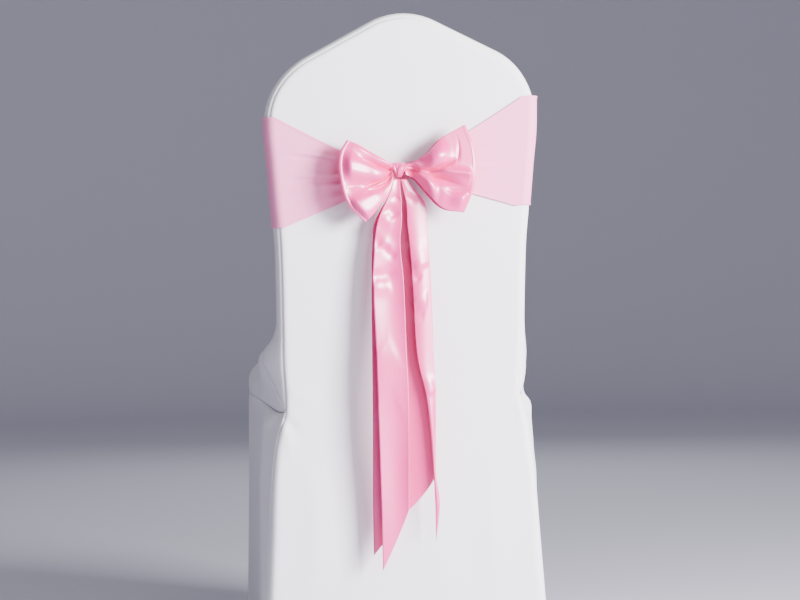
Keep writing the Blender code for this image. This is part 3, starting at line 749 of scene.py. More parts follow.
def crown_stations():
    """The right half of the crown from its top down to the shoulder: columns x, z and outward normal."""
    top_turns = np.linspace(0.0, CROWN_SLOPE, count_of(CROWN_TOP_RADIUS * CROWN_SLOPE) + 1)
    top = stack(
        CROWN_TOP_RADIUS * np.sin(top_turns),
        HEIGHT - CROWN_TOP_RADIUS * (1 - np.cos(top_turns)),
        np.sin(top_turns),
        np.cos(top_turns),
    )
    run = SHOULDER_START_X - top[-1, 0]
    shares = np.linspace(0.0, 1.0, count_of(run / math.cos(CROWN_SLOPE)) + 1)[1:-1]
    slope = stack(
        top[-1, 0] + run * shares,
        top[-1, 1] + (SHOULDER_START_Z - top[-1, 1]) * shares,
        math.sin(CROWN_SLOPE),
        math.cos(CROWN_SLOPE),
    )
    arc = CROWN_CORNER_RADIUS * (math.pi / 2 - CROWN_SLOPE)
    turns = np.linspace(CROWN_SLOPE, math.pi / 2, count_of(arc) + 1)
    corner = stack(
        BACK_HALF_WIDTH - CROWN_CORNER_RADIUS * (1 - np.sin(turns)),
        SHOULDER_Z + CROWN_CORNER_RADIUS * np.cos(turns),
        np.sin(turns),
        np.cos(turns),
    )
    return np.vstack([top, slope, corner])


def side_stations(zs):
    """Stations on the side of the outline, with their normals from the slope of the table's curve."""
    zs = np.atleast_1d(np.asarray(zs, float))
    wider, narrower = (rear_at("half_width", zs + step) for step in (SLOPE_STEP, -SLOPE_STEP))
    slope = (wider - narrower) / (2 * SLOPE_STEP)
    length = np.hypot(1.0, slope)
    return stack(rear_at("half_width", zs), zs, 1.0 / length, -slope / length)


def spine_height(z):
    """Where a station's row meets the centre line: pushed down under the crown, level further down."""
    drop = HEIGHT - z
    return z - SPINE_DROP * np.maximum(0.0, 1 - drop / (4 * SPINE_DROP)) ** 2


def hem_lift(z):
    """How far a row is raised at the middle of its span, growing towards the arched hem."""
    return HEM_ARCH * np.maximum(0.0, 1 - z / ARCH_STARTS_Z) ** 1.5


def seam_angle(z):
    """How far round the edge the seam lies. Below the waist it wanders from the rear edge to the side."""
    below_waist = np.clip((WAIST_Z - z) / WAIST_Z, 0.0, 1.0)
    wandered = (FLOOR_SEAM_ANGLE - WAIST_SEAM_ANGLE) * np.sin(below_waist * math.pi / 2)
    return np.radians(WAIST_SEAM_ANGLE + wandered)


def edge_points(stations, angle, grow=0.0):
    """Points on the rounded edge: angle 0 looks rearwards, 90 degrees sideways and 180 forwards."""
    x, z, nx, nz = (stations[:, k : k + 1] for k in range(4))
    angle = np.broadcast_to(np.asarray(angle, float), (len(stations), np.shape(angle)[-1]))
    inner_x, inner_z = x - EDGE_RADIUS * nx, z - EDGE_RADIUS * nz
    reach = (EDGE_RADIUS + grow) * np.sin(angle)
    z_here = inner_z + reach * nz
    half = rear_at("thick", inner_z) / 2
    depth = rear_at("rear", z_here) + half - (half + grow) * np.cos(angle)
    return stack(inner_x + reach * nx, depth + REAR_Y, z_here)


outline = crown_stations()
print("outline: peak", round(float(outline[0, 1]), 4), "shoulder", round(float(outline[-1, 1]), 4))

# %% [markdown]
# ## The outside back
#
# This is the panel that shows most: one piece of knit from the peak to the floor, pulled tight over the
# backrest. Its rows run from the centre line to the seam on the edge. Near the seam the columns lie
# closer, so that the seam's small groove, where both panels turn in, is real shape. The knit has a few
# soft creases: they start at the waist, where the cover is drawn in, and die out over the skirt.

# %% Shared shaping of the cover
SEAM_ROLL = 0.0011  # how far both panels turn in at a seam
SEAM_ROLL_WIDTH = 0.0021
LINE_STEP = 0.0008
# distances from a seam at which the cloth's columns lie closer
NEAR_SEAM = np.array([0.0062, 0.0042, 0.0029, 0.0019, 0.0011, 0.0005, 0.0])
WAIST_DROP_LEFT = 0.013
WAIST_RISE_RIGHT = 0.006
WEB_PUSH_LEFT = 0.014  # how far the left web is pulled out between backrest and seat
WEB_PLACE = (-0.125, 0.467)  # its middle in y and z
WEB_SPREAD = (0.040, 0.024)
WEB_SIDE = (0.15, 0.19)
WAIST_SPREAD = 0.055  # how far above and below the waist its drop fades out
WAIST_SIDE = (0.05, 0.17)  # distances from the centre line over which it swells
CROWN_LEAN = 0.033  # the crown's cloth is pulled up towards the right
CROWN_LEAN_Z = (0.80, 0.91)


def settle_cover(points):
    """No pulled-on cover sits quite even.

    The left waist lies a little lower than the right, and the left web stands further out.
    """
    points = points.copy()
    near_waist = np.exp(-(((points[:, 2] - WAIST_Z) / WAIST_SPREAD) ** 2))
    left, right = ease(-points[:, 0], *WAIST_SIDE), ease(points[:, 0], *WAIST_SIDE)
    from_web = (points[:, 1:] - WEB_PLACE) / WEB_SPREAD
    near_web = np.exp(-(from_web**2).sum(axis=1))
    points[:, 0] -= WEB_PUSH_LEFT * near_web * ease(-points[:, 0], *WEB_SIDE)
    points[:, 2] += near_waist * (WAIST_RISE_RIGHT * right - WAIST_DROP_LEFT * left)
    points[:, 2] += CROWN_LEAN * points[:, 0] * ease(points[:, 2], *CROWN_LEAN_Z)
    return points


def mirror_grid(grid):
    """The other half of a half grid, with its columns reversed so that both halves look the same way."""
    return (grid * (-1.0, 1.0, 1.0))[:, ::-1]


def near_line(points, line, width):
    """1 on a line of points that follows a seam, falling to 0 past a width from it."""
    tree = KDTree(len(line))
    for k, place in enumerate(line):
        tree.insert(place, k)
    tree.balance()
    away = np.array([tree.find(point)[2] for point in points])
    return np.exp(-((away / width) ** 2))


def dense(line):
    """A line of points, filled in so that it has one at least every LINE_STEP."""
    line = np.asarray(line, float)
    length = np.concatenate([[0.0], np.cumsum(np.linalg.norm(np.diff(line, axis=0), axis=1))])
    wanted = np.linspace(0.0, length[-1], int(length[-1] / LINE_STEP) + 2)
    return np.stack([np.interp(wanted, length, line[:, k]) for k in range(3)], axis=-1)


# %% Outside back
EDGE_STARTS = (0.0020, 0.0035)  # the first columns on the rounded edge


def outside_back_half():
    side_zs = np.linspace(SHOULDER_Z, 0.0, count_of(SHOULDER_Z) + 1)[1:]
    stations = np.vstack([outline, side_stations(side_zs)])
    inner = edge_points(stations, [0.0])[:, 0]
    shares = np.linspace(0.0, 1.0, count_of(BACK_HALF_WIDTH) + 1)
    spine = spine_height(stations[:, 1]) + hem_lift(stations[:, 1])
    z = inner[:, 2:3] + (spine[:, None] - inner[:, 2:3]) * (1 - shares**2)
    flat = stack(shares * inner[:, 0:1], rear_at("rear", z) + REAR_Y, z)
    end = seam_angle(stations[:, 1])[:, None]
    arc = EDGE_RADIUS * end[0, 0]
    turns = np.concatenate([EDGE_STARTS, arc - NEAR_SEAM]) / arc
    turns = np.unique(np.clip(turns, 0.05, 1.0))
    return np.concatenate([flat, edge_points(stations, end * turns)], axis=1)


back_half = outside_back_half()
back_seam = dense(back_half[:, -1])

BACK_CREASES = [
    # from the right waist and from the left waist, in the rear face
    ([(0.183, -0.193, 0.408), (0.172, -0.188, 0.397), (0.160, -0.186, 0.372)],
     0.0045, -0.0016, (0.0, 0.7)),
    ([(0.185, -0.193, 0.400), (0.178, -0.188, 0.370), (0.176, -0.188, 0.330)],
     0.0065, 0.0016, (0.2, 0.7)),
    ([(-0.182, -0.193, 0.392), (-0.170, -0.186, 0.378), (-0.150, -0.185, 0.352)],
     0.0075, -0.0026, (0.0, 0.7)),
    ([(-0.184, -0.193, 0.386), (-0.174, -0.188, 0.350), (-0.170, -0.189, 0.300)],
     0.0085, 0.0024, (0.2, 0.7)),
    ([(-0.175, -0.190, 0.432), (-0.150, -0.187, 0.418), (-0.110, -0.186, 0.410)],
     0.0100, 0.0012, (0.2, 0.8)),
    ([(0.175, -0.190, 0.436), (0.150, -0.187, 0.424), (0.110, -0.186, 0.418)],
     0.0090, 0.0010, (0.2, 0.8)),
    # long shallow pulls over the skirt and across the upper back
    ([(-0.150, -0.192, 0.330), (-0.135, -0.194, 0.220), (-0.145, -0.198, 0.060)],
     0.0200, 0.0016, (0.3, 0.4)),
    ([(0.140, -0.192, 0.340), (0.128, -0.194, 0.230), (0.140, -0.198, 0.050)],
     0.0190, 0.0014, (0.3, 0.4)),
    ([(0.060, -0.190, 0.300), (0.050, -0.194, 0.180), (0.065, -0.198, 0.060)],
     0.0240, 0.0010, (0.4, 0.4)),
]


def back_height(points):
    seams = np.vstack([back_seam, back_seam * (-1.0, 1.0, 1.0)])
    return creases(points, BACK_CREASES) - SEAM_ROLL * near_line(points, seams, SEAM_ROLL_WIDTH)


outside_back = cloth(
    "outside_back_knit",
    [back_half, mirror_grid(back_half)],
    cover_knit,
    COVER_THICKNESS,
    height=back_height,
    warp=settle_cover,
)
declare(
    outside_back, "outside_back", "cover_knit", (0.46, 0.99),
    "stretched", rests_on=["inside_back"], area=0.40,
)

# %% [markdown]
# ## The inside back, the seat and the front drop
#
# These three panels run on from one another: down the front of the backrest, over the seat and down
# between the front legs. Each row goes from the centre line to a shoulder, round the edge, and on to
# the seam at the side. Where the backrest meets the seat the stretched knit can't follow the corner: it
# bridges it in a web, which a smooth run of rows between the backrest's and the seat's gives.

# %% Rows from six guide points
SIDE_SLACK = 0.0005  # the cloth stands off a little below the seat's rolled side
FRONT_SEAM_INSET = 0.041  # from the seat's front back to where the side seam turns down
FRONT_SEAM_RUN = 0.013
FRONT_SEAM_Z = 0.4100
FRONT_SEAM_DROP = 0.0095
FRONT_RETURN = 0.006  # the front drop's cloth that wraps onto the side


def guide_rows(centre, shoulder, corner, side, bend, seam):
    """Guide points (rows, 6, xyz) from six lines of points."""
    return np.stack(np.broadcast_arrays(centre, shoulder, corner, side, bend, seam), axis=1)


def inside_guides(stations):
    """The inside back at its stations: flat to the shoulder, round the edge, and on to the rear seam."""
    z = stations[:, 1]
    end = seam_angle(np.maximum(z, WAIST_Z))
    shoulder = edge_points(stations, [math.pi])[:, 0]
    side = edge_points(stations, [math.pi / 2])[:, 0]
    seam = edge_points(stations, end[:, None])[:, 0]
    half = rear_at("thick", z) / 2
    middle = rear_at("rear", z) + half + REAR_Y
    corner = side + stack(0.0, shoulder[:, 1] - middle, 0.0 * z)
    bend = side - stack(0.0, half * (1 - np.sin(end)) / np.cos(end), 0.0)
    spine = spine_height(z)
    centre = stack(0.0, rear_at("rear", spine) + rear_at("thick", spine) + REAR_Y, spine)
    return guide_rows(centre, shoulder, corner, side, bend, seam)


def edge_seam(zs):
    """Points on the seam round the rear edge at given heights."""
    stations = side_stations(zs)
    return edge_points(stations, seam_angle(stations[:, 1])[:, None])[:, 0]


def in_frame(points):
    """Depths counted from the rear face at the waist, moved to the frame's own Y."""
    return np.asarray(points, float) + (0.0, REAR_Y, 0.0)


# The row in the crease between backrest and seat, from its middle to just before the seam
CREASE_GUIDES = in_frame(
    [
        (0.0, 0.062, 0.474),
        (0.166, 0.063, 0.478),
        (0.1950, 0.060, 0.488),
        (0.1945, 0.050, 0.478),
        (0.1970, 0.026, 0.436),
    ]
)


def seat_guides(depths):
    """Rows of the seat at depths forward, from its middle over the rolled side to the side seam."""
    depths = np.atleast_1d(np.asarray(depths, float))
    half, top, seam_z = (seat_at(name, depths) for name in ("half_width", "side_top", "seam_z"))
    y = depths + REAR_Y
    return guide_rows(
        stack(0.0, y, SEAT_Z),
        stack(half - SEAT_SHOULDER, y, SEAT_Z),
        stack(half, y, SEAT_Z),
        stack(half, y, top),
        stack(half + SIDE_SLACK, y, (top + seam_z) / 2),
        stack(half + SIDE_SLACK, y, seam_z),
    )


def front_edge_guides(turns):
    """Rows on the seat's front edge, from facing up (turn 0) to facing forward (90 degrees)."""
    depth = SEAT_DEPTH - SEAT_FRONT_RADIUS * (1 - np.sin(turns)) + REAR_Y
    z = SEAT_Z - SEAT_FRONT_RADIUS * (1 - np.cos(turns))
    half = front_at("half_width", z)
    inset = SEAT_SHOULDER + (FRONT_CORNER_RADIUS - SEAT_SHOULDER) * np.sin(turns)
    side_forward = (SEAT_FRONT_RADIUS - FRONT_CORNER_RADIUS) * np.sin(turns)
    side_y = SEAT_DEPTH - SEAT_FRONT_RADIUS + side_forward + REAR_Y
    side_z = SEAT_Z - SEAT_FRONT_RADIUS
    seam_y = SEAT_DEPTH - FRONT_SEAM_INSET + FRONT_SEAM_RUN * np.sin(turns) + REAR_Y
    seam_z = FRONT_SEAM_Z - FRONT_SEAM_DROP * (1 - np.cos(turns))
    return guide_rows(
        stack(0.0, depth, z),
        stack(half - inset, depth, z),
        stack(half, depth, z),
        stack(half, side_y, side_z),
        stack(half + SIDE_SLACK, (side_y + seam_y) / 2, (side_z + seam_z) / 2),
        stack(half + SIDE_SLACK, seam_y, seam_z),
    )


def front_guides(zs):
    """Rows of the front drop, from its middle round the corner to the seam on the side."""
    half, depth = front_at("half_width", zs), front_at("depth", zs) + REAR_Y
    side_y = depth - FRONT_CORNER_RADIUS
    return guide_rows(
        stack(0.0, depth, zs + hem_lift(zs)),
        stack(half - FRONT_CORNER_RADIUS, depth, zs),
        stack(half, depth, zs),
        stack(half, side_y, zs),
        stack(half + SIDE_SLACK, side_y - FRONT_RETURN / 2, zs),
        stack(half + SIDE_SLACK, side_y - FRONT_RETURN, zs),
    )


FLAT_COLUMNS = 42
ROUND_COLUMNS = 11
SHORTEST_DROP = 0.0065  # a shorter side has its columns spread as if it were this long
FIRST_SHARE = 0.12


def fill_rows(guides):
    """Fine rows: straight to the shoulder, a quarter ellipse to the side, a bend to the seam."""
    centre, shoulder, corner, side, bend, seam = (guides[:, k, None] for k in range(6))
    shares = np.linspace(0.0, 1.0, FLAT_COLUMNS)[None, :, None]
    flat = centre + (shoulder - centre) * shares
    flat[..., 2] = shoulder[..., 2] + (centre[..., 2] - shoulder[..., 2]) * (1 - shares[..., 0] ** 2)
    turns = np.linspace(0.0, math.pi / 2, ROUND_COLUMNS)[None, 1:, None]
    arc = shoulder + side - corner + (corner - side) * np.cos(turns) + (corner - shoulder) * np.sin(turns)
    last = np.linalg.norm(seam - side, axis=2).mean()
    t = np.unique(np.clip(1.0 - NEAR_SEAM / max(last, SHORTEST_DROP), FIRST_SHARE, 1.0))
    t = np.concatenate([np.linspace(0.0, t[0], count_of(last * t[0]) + 1)[1:-1], t])[None, :, None]
    to_seam = side * (1 - t) ** 2 + 2 * bend * t * (1 - t) + seam * t**2
    return np.concatenate([flat, arc, to_seam], axis=1)


def smooth_rows(rows, steps):
    """Catmull-Rom rows between guide rows (guides, 6, xyz)."""
    padded = np.concatenate([2 * rows[:1] - rows[1:2], rows, 2 * rows[-1:] - rows[-2:-1]])
    result = []
    for k in range(len(rows) - 1):
        a, b, c, d = padded[k : k + 4]
        for t in np.arange(steps) / steps:
            bend, twist = 2 * a - 5 * b + 4 * c - d, 3 * b - 3 * c + d - a
            result.append(0.5 * (2 * b + (c - a) * t + bend * t**2 + twist * t**3))
    result.append(rows[-1])
    return np.array(result)


# %% Guide rows of the run
WEB_STEPS = 20
LOWEST_BACK_Z = 0.520
ABOVE_WEB_Z = 0.57
BACK_ROWS = 71
ROW_STEP = 0.005
FRONT_EDGE_ROWS = 13
DROP_START_Z = 0.415
DROP_TOP_Z = 0.400

back_side = side_stations(np.linspace(SHOULDER_Z, LOWEST_BACK_Z, BACK_ROWS)[1:])
back_guides = inside_guides(np.vstack([outline, back_side]))
above = inside_guides(side_stations([ABOVE_WEB_Z]))
crease_row = np.vstack([CREASE_GUIDES, edge_seam(WAIST_Z)])[None]
seat_run = seat_guides([row[0] for row in SEAT_ROWS])
web = smooth_rows(np.concatenate([above, back_guides[-1:], crease_row, seat_run[:2]]), WEB_STEPS)
for row in web[WEB_STEPS : 2 * WEB_STEPS + 1]:
    row[-1] = edge_seam(row[-1, 2])[0]
inside_rows = np.concatenate([back_guides[:-1], web[WEB_STEPS : 2 * WEB_STEPS + 1]])
seat_first, seat_last = SEAT_ROWS[0][0], SEAT_ROWS[-1][0]
seat_depths = np.linspace(seat_first, seat_last, count_of(seat_last - seat_first, ROW_STEP) + 1)
front_edge = front_edge_guides(np.linspace(0.0, math.pi / 2, FRONT_EDGE_ROWS))
front_seam = FRONT_EDGE_ROWS // 2
web_to_seat = web[2 * WEB_STEPS : 3 * WEB_STEPS]
seat_rows = np.concatenate([web_to_seat, seat_guides(seat_depths), front_edge[: front_seam + 1]])
drop_zs = np.linspace(DROP_TOP_Z, 0.0, count_of(DROP_TOP_Z, ROW_STEP) + 1)
drop_zs = np.concatenate([[DROP_START_Z], drop_zs])
front_rows = np.concatenate([front_edge[front_seam:], front_guides(drop_zs)])
print("rows:", len(inside_rows), "inside back,", len(seat_rows), "seat,", len(front_rows), "front drop")

# %% [markdown]
# ### Where the stretched knit creases
#
# A tight knit only creases where it is pulled two ways at once: at the corners between backrest and
# seat, at the seat's rolled sides, and where the skirt is drawn in. The places are listed one by one, on
# one side or both, and no two are quite alike.

# %% Inside back
inside_half = fill_rows(inside_rows)
seat_half = fill_rows(seat_rows)
front_half = fill_rows(front_rows)
seat_back_line = dense(seat_half[0])
seat_front_line = dense(front_half[0])
side_seam_line = dense(seat_half[:, -1])
front_side_line = dense(front_half[:, -1])


def both_sides(line):
    return np.vstack([line, line * (-1.0, 1.0, 1.0)])


INSIDE_CREASES = [
    ([(0.180, -0.134, 0.560), (0.160, -0.128, 0.520), (0.120, -0.121, 0.490)],
     0.0120, 0.0018, (0.4, 0.4)),
    ([(0.186, -0.141, 0.540), (0.172, -0.130, 0.505), (0.150, -0.121, 0.482)],
     0.0080, -0.0016, (0.3, 0.5)),
    ([(-0.182, -0.136, 0.555), (-0.158, -0.128, 0.516), (-0.110, -0.121, 0.488)],
     0.0130, 0.0020, (0.4, 0.4)),
    ([(-0.187, -0.141, 0.535), (-0.175, -0.130, 0.502), (-0.145, -0.121, 0.480)],
     0.0085, -0.0018, (0.3, 0.5)),
    ([(0.193, -0.166, 0.500), (0.195, -0.146, 0.470), (0.196, -0.134, 0.440)],
     0.0060, 0.0014, (0.3, 0.3)),
    ([(-0.193, -0.166, 0.495), (-0.195, -0.146, 0.466), (-0.196, -0.134, 0.438)],
     0.0065, 0.0017, (0.3, 0.3)),
]


def inside_height(points):
    seams = np.vstack([both_sides(back_seam), both_sides(seat_back_line)])
    return creases(points, INSIDE_CREASES) - SEAM_ROLL * near_line(points, seams, SEAM_ROLL_WIDTH)


inside_back = cloth(
    "inside_back_knit",
    [inside_half[:, ::-1], mirror_grid(inside_half)[:, ::-1]],
    cover_knit,
    COVER_THICKNESS,
    height=inside_height,
    warp=settle_cover,
)
declare(
    inside_back, "inside_back", "cover_knit", (0.46, 0.56),
    "stretched", rests_on=[outside_back], area=0.225,
)

# %% Seat panel and front drop
SEAT_CREASES = [
    ([(0.196, -0.116, 0.462), (0.180, -0.091, 0.462), (0.140, -0.066, 0.458)],
     0.0090, 0.0020, (0.2, 0.6)),
    ([(0.199, -0.106, 0.448), (0.198, -0.076, 0.450), (0.185, -0.036, 0.455)],
     0.0070, 0.0015, (0.2, 0.6)),
    ([(-0.196, -0.116, 0.462), (-0.178, -0.089, 0.462), (-0.134, -0.061, 0.458)],
     0.0095, 0.0022, (0.2, 0.6)),
    ([(-0.199, -0.106, 0.446), (-0.199, -0.072, 0.450), (-0.186, -0.028, 0.455)],
     0.0070, 0.0017, (0.2, 0.6)),
    ([(0.150, 0.209, 0.457), (0.168, 0.229, 0.455), (0.188, 0.250, 0.443)], 0.0090, 0.0014, (0.5, 0.2)),
    ([(-0.152, 0.204, 0.457), (-0.170, 0.226, 0.455), (-0.190, 0.249, 0.443)],
     0.0095, 0.0015, (0.5, 0.2)),
]
FRONT_CREASES = [
    ([(0.185, 0.256, 0.400), (0.150, 0.260, 0.330), (0.130, 0.262, 0.200)], 0.0160, 0.0018, (0.3, 0.5)),
    ([(-0.186, 0.256, 0.395), (-0.148, 0.260, 0.320), (-0.126, 0.262, 0.190)],
     0.0170, 0.0019, (0.3, 0.5)),
    ([(0.020, 0.260, 0.380), (0.035, 0.261, 0.260), (0.025, 0.262, 0.120)], 0.0240, 0.0012, (0.4, 0.4)),
]


def seat_height(points):
    seams = np.vstack([both_sides(line) for line in (seat_back_line, seat_front_line, side_seam_line)])
    return creases(points, SEAT_CREASES) - SEAM_ROLL * near_line(points, seams, SEAM_ROLL_WIDTH)


def front_height(points):
    seams = np.vstack([both_sides(seat_front_line), both_sides(front_side_line)])
    return creases(points, FRONT_CREASES) - SEAM_ROLL * near_line(points, seams, SEAM_ROLL_WIDTH)


seat_panel = cloth(
    "seat_panel_knit",
    [seat_half[:, ::-1], mirror_grid(seat_half)[:, ::-1]],
    cover_knit,
    COVER_THICKNESS,
    height=seat_height,
    warp=settle_cover,
)
declare(
    seat_panel, "seat_panel", "cover_knit", (0.46, 0.44),
    "stretched", rests_on=[inside_back], area=0.18,
)
skirt_front = cloth(
    "skirt_front_knit",
    [front_half[:, ::-1], mirror_grid(front_half)[:, ::-1]],
    cover_knit,
    COVER_THICKNESS,
    height=front_height,
    warp=settle_cover,
)
declare(skirt_front, "skirt_front", "cover_knit", (0.47, 0.46), "hung", rests_on=[seat_panel], area=0.19)

# %% [markdown]
# ## The side drops
#
# A panel closes each side below the seat: it starts at the seam on the rear corner, runs out straight
# over the rear leg, hangs from the seat's side seam and ends at the front corner. Its middle is drawn
# in a little and its hem is pulled up between the legs, because the knit is stretched from foot to
# foot.

# %% Side drops
KNEE = 0.12  # the share of a row that lies before the rear leg's corner
SIDE_HOLLOW = 0.006
KNEE_COLUMNS = ("z", "half_width", "depth")
KNEE_ROWS = [
    (0.000, 0.2160, 0.020),
    (0.100, 0.2135, 0.035),
    (0.200, 0.2118, 0.050),
    (0.300, 0.2100, 0.060),
    (0.345, 0.2078, 0.061),
    (0.385, 0.2045, 0.061),
]


def side_rows(zs, shares):
    """Rows of a side drop, from the rear seam over the rear leg's corner to the front corner."""
    stations = side_stations(zs)
    start = edge_points(stations, seam_angle(zs)[:, None])[:, 0][:, None]
    half_width = read(KNEE_ROWS, KNEE_COLUMNS, "z", "half_width", zs)
    depth = read(KNEE_ROWS, KNEE_COLUMNS, "z", "depth", zs)
    corner = stack(half_width, depth + REAR_Y, zs)[:, None]
    end = front_guides(zs)[:, -1][:, None]
    shares = shares[None, :, None]
    wedge = start + (corner - start) * shares / KNEE
    part = np.clip((shares - KNEE) / (1 - KNEE), 0.0, 1.0)
    run = corner + (end - corner) * part
    run[..., 0] -= SIDE_HOLLOW * np.sin(math.pi * part[..., 0]) ** 2
    rows = np.where(shares < KNEE, wedge, run)
    rows[..., 2] = zs[:, None] + hem_lift(zs)[:, None] * np.sin(math.pi * shares[..., 0])
    return rows


SIDE_GUIDE_ZS = np.array([0.385, 0.36, 0.33])
SIDE_ROW_STEP = 0.0045
SIDE_COLUMN_STEP = 0.0004  # columns closer than this are left out
SIDE_TOP_STEPS = 6


def side_half():
    """The right side drop: its first row is the seam of the seat, and the rest hang below it."""
    top = np.vstack([seat_half[:, -1], front_half[1 : front_seam + 1, -1]])
    keep = np.concatenate([[True], np.diff(top[:, 1]) > SIDE_COLUMN_STEP])
    top = top[keep]
    shares = (top[:, 1] - top[0, 1]) / (top[-1, 1] - top[0, 1])
    guides = side_rows(SIDE_GUIDE_ZS, shares)
    lowest = SIDE_GUIDE_ZS[-1]
    lower = side_rows(np.linspace(lowest, 0.0, count_of(lowest, SIDE_ROW_STEP) + 1)[1:], shares)
    near_top = smooth_rows(np.concatenate([top[None], guides]), SIDE_TOP_STEPS)
    return np.concatenate([near_top, lower])


right_side = side_half()
side_edges = np.vstack([dense(right_side[0]), dense(right_side[:, 0]), dense(right_side[:, -1])])
SIDE_CREASES_LEFT = [
    ([(-0.197, -0.156, 0.398), (-0.198, -0.126, 0.370), (-0.203, -0.066, 0.330)],
     0.0080, 0.0022, (0.1, 0.6)),
    ([(-0.198, -0.146, 0.408), (-0.202, -0.096, 0.398), (-0.205, -0.026, 0.390)],
     0.0070, 0.0016, (0.1, 0.6)),
    ([(-0.200, -0.146, 0.330), (-0.204, -0.106, 0.240), (-0.206, -0.076, 0.120)],
     0.0150, 0.0018, (0.2, 0.5)),
    ([(-0.203, 0.224, 0.390), (-0.200, 0.144, 0.330), (-0.200, 0.084, 0.240)],
     0.0160, 0.0017, (0.2, 0.5)),
]
SIDE_CREASES_RIGHT = [
    ([(0.197, -0.156, 0.406), (0.199, -0.121, 0.378), (0.203, -0.056, 0.345)],
     0.0075, 0.0019, (0.1, 0.6)),
    ([(0.201, -0.146, 0.320), (0.205, -0.101, 0.230), (0.207, -0.066, 0.130)],
     0.0160, 0.0016, (0.2, 0.5)),
    ([(0.203, 0.219, 0.392), (0.200, 0.134, 0.340), (0.200, 0.074, 0.260)], 0.0150, 0.0018, (0.2, 0.5)),
]


def make_side(name, grid, lines, node):
    """One side drop, with its creases and with all its edges turned in at their seams."""
    edges = side_edges * (math.copysign(1.0, grid[0, 0, 0]), 1.0, 1.0)

    def height(points):
        return creases(points, lines) - SEAM_ROLL * near_line(points, edges, SEAM_ROLL_WIDTH)

    side = cloth(name, [grid], cover_knit, COVER_THICKNESS, height=height, warp=settle_cover)
    declare(side, node, "cover_knit", (0.46, 0.44), "hung", rests_on=[seat_panel], area=0.175)
    return side


make_side("skirt_right_knit", right_side, SIDE_CREASES_RIGHT, "skirt_right")
make_side("skirt_left_knit", mirror_grid(right_side), SIDE_CREASES_LEFT, "skirt_left")

# %% [markdown]
# ## The sash band
#
# The band is a tube of stretch knit pulled over the backrest. Behind, the ribbon gathers it to a narrow
# neck, so the tube's height falls from both sides towards the knot and its slack lies in folds that run
# to it. The tube is worked out by columns round the backrest. The folds are long ridges that start at
# the gather and fade towards the sides, and the troughs between them are kept shallow, to keep the band
# clear of the cover.

# %% Band sizes
SASH_THICKNESS = 0.0009
SASH_CLEARANCE = 0.0020
BAND_HALF_HEIGHT = 0.0805
BAND_GATHER_HALF = 0.012
BAND_GATHER_X = -0.0055
BAND_NECK = 0.0105
BAND_TAPER = 0.43
BAND_COLUMNS = ("x", "middle_z")
BAND_ROWS = [(-0.200, 0.7395), (-0.081, 0.7330), (0.000, 0.7400), (0.106, 0.7536), (0.200, 0.7695)]


BAND_LEVELS = 86
BAND_REAR_STEPS, BAND_EDGE_STEPS, BAND_FRONT_STEPS = 84, 22, 50


def band_grid():
    """The tube by places round it: to 1 across the rear, to 2 round the edge, to 3 across the front."""
    rear = np.linspace(0.0, 1.0, BAND_REAR_STEPS)
    edge = np.linspace(1.0, 2.0, BAND_EDGE_STEPS)[1:]
    front = np.linspace(2.0, 3.0, BAND_FRONT_STEPS)[1:]
    places = np.concatenate([rear, edge, front])
    places = np.concatenate([places, -places[-2:0:-1]])
    side, place = np.sign(places + 1e-9), np.abs(places)
    across = np.where(place < 2.0, np.minimum(place, 1.0), 3.0 - place)
    left, right = BAND_ROWS[0], BAND_ROWS[-1]
    behind = read(BAND_ROWS, BAND_COLUMNS, "x", "middle_z", side * across * right[0])
    ahead = (left[1] + right[1]) / 2 + side * across * (right[1] - left[1]) / 2
    middle = np.where(place > 2.0, ahead, behind)
    from_gather = np.abs(side * across * right[0] - BAND_GATHER_X)
    growing = BAND_TAPER * np.maximum(0.0, from_gather - BAND_NECK)
    gathered = np.minimum(BAND_HALF_HEIGHT, np.hypot(BAND_GATHER_HALF, growing))
    half = np.where(place < 1.0, gathered, BAND_HALF_HEIGHT)
    level = np.linspace(1.0, -1.0, BAND_LEVELS)
    z = middle[:, None] + half[:, None] * level
    half_width = rear_at("half_width", z)
    thick = rear_at("thick", z) / 2
    angle = np.clip(place - 1.0, 0.0, 1.0)[:, None] * math.pi
    flat = np.where(place < 1.0, place, np.where(place > 2.0, 3.0 - place, 1.0))[:, None]
    x = flat * (half_width - EDGE_RADIUS) + (EDGE_RADIUS + SASH_CLEARANCE) * np.sin(angle)
    y = rear_at("rear", z) + thick - (thick + SASH_CLEARANCE) * np.cos(angle) + REAR_Y
    return stack(side[:, None] * x, y, z)


band = band_grid()
print("band:", band.shape[0], "columns round,", band.shape[1], "levels")

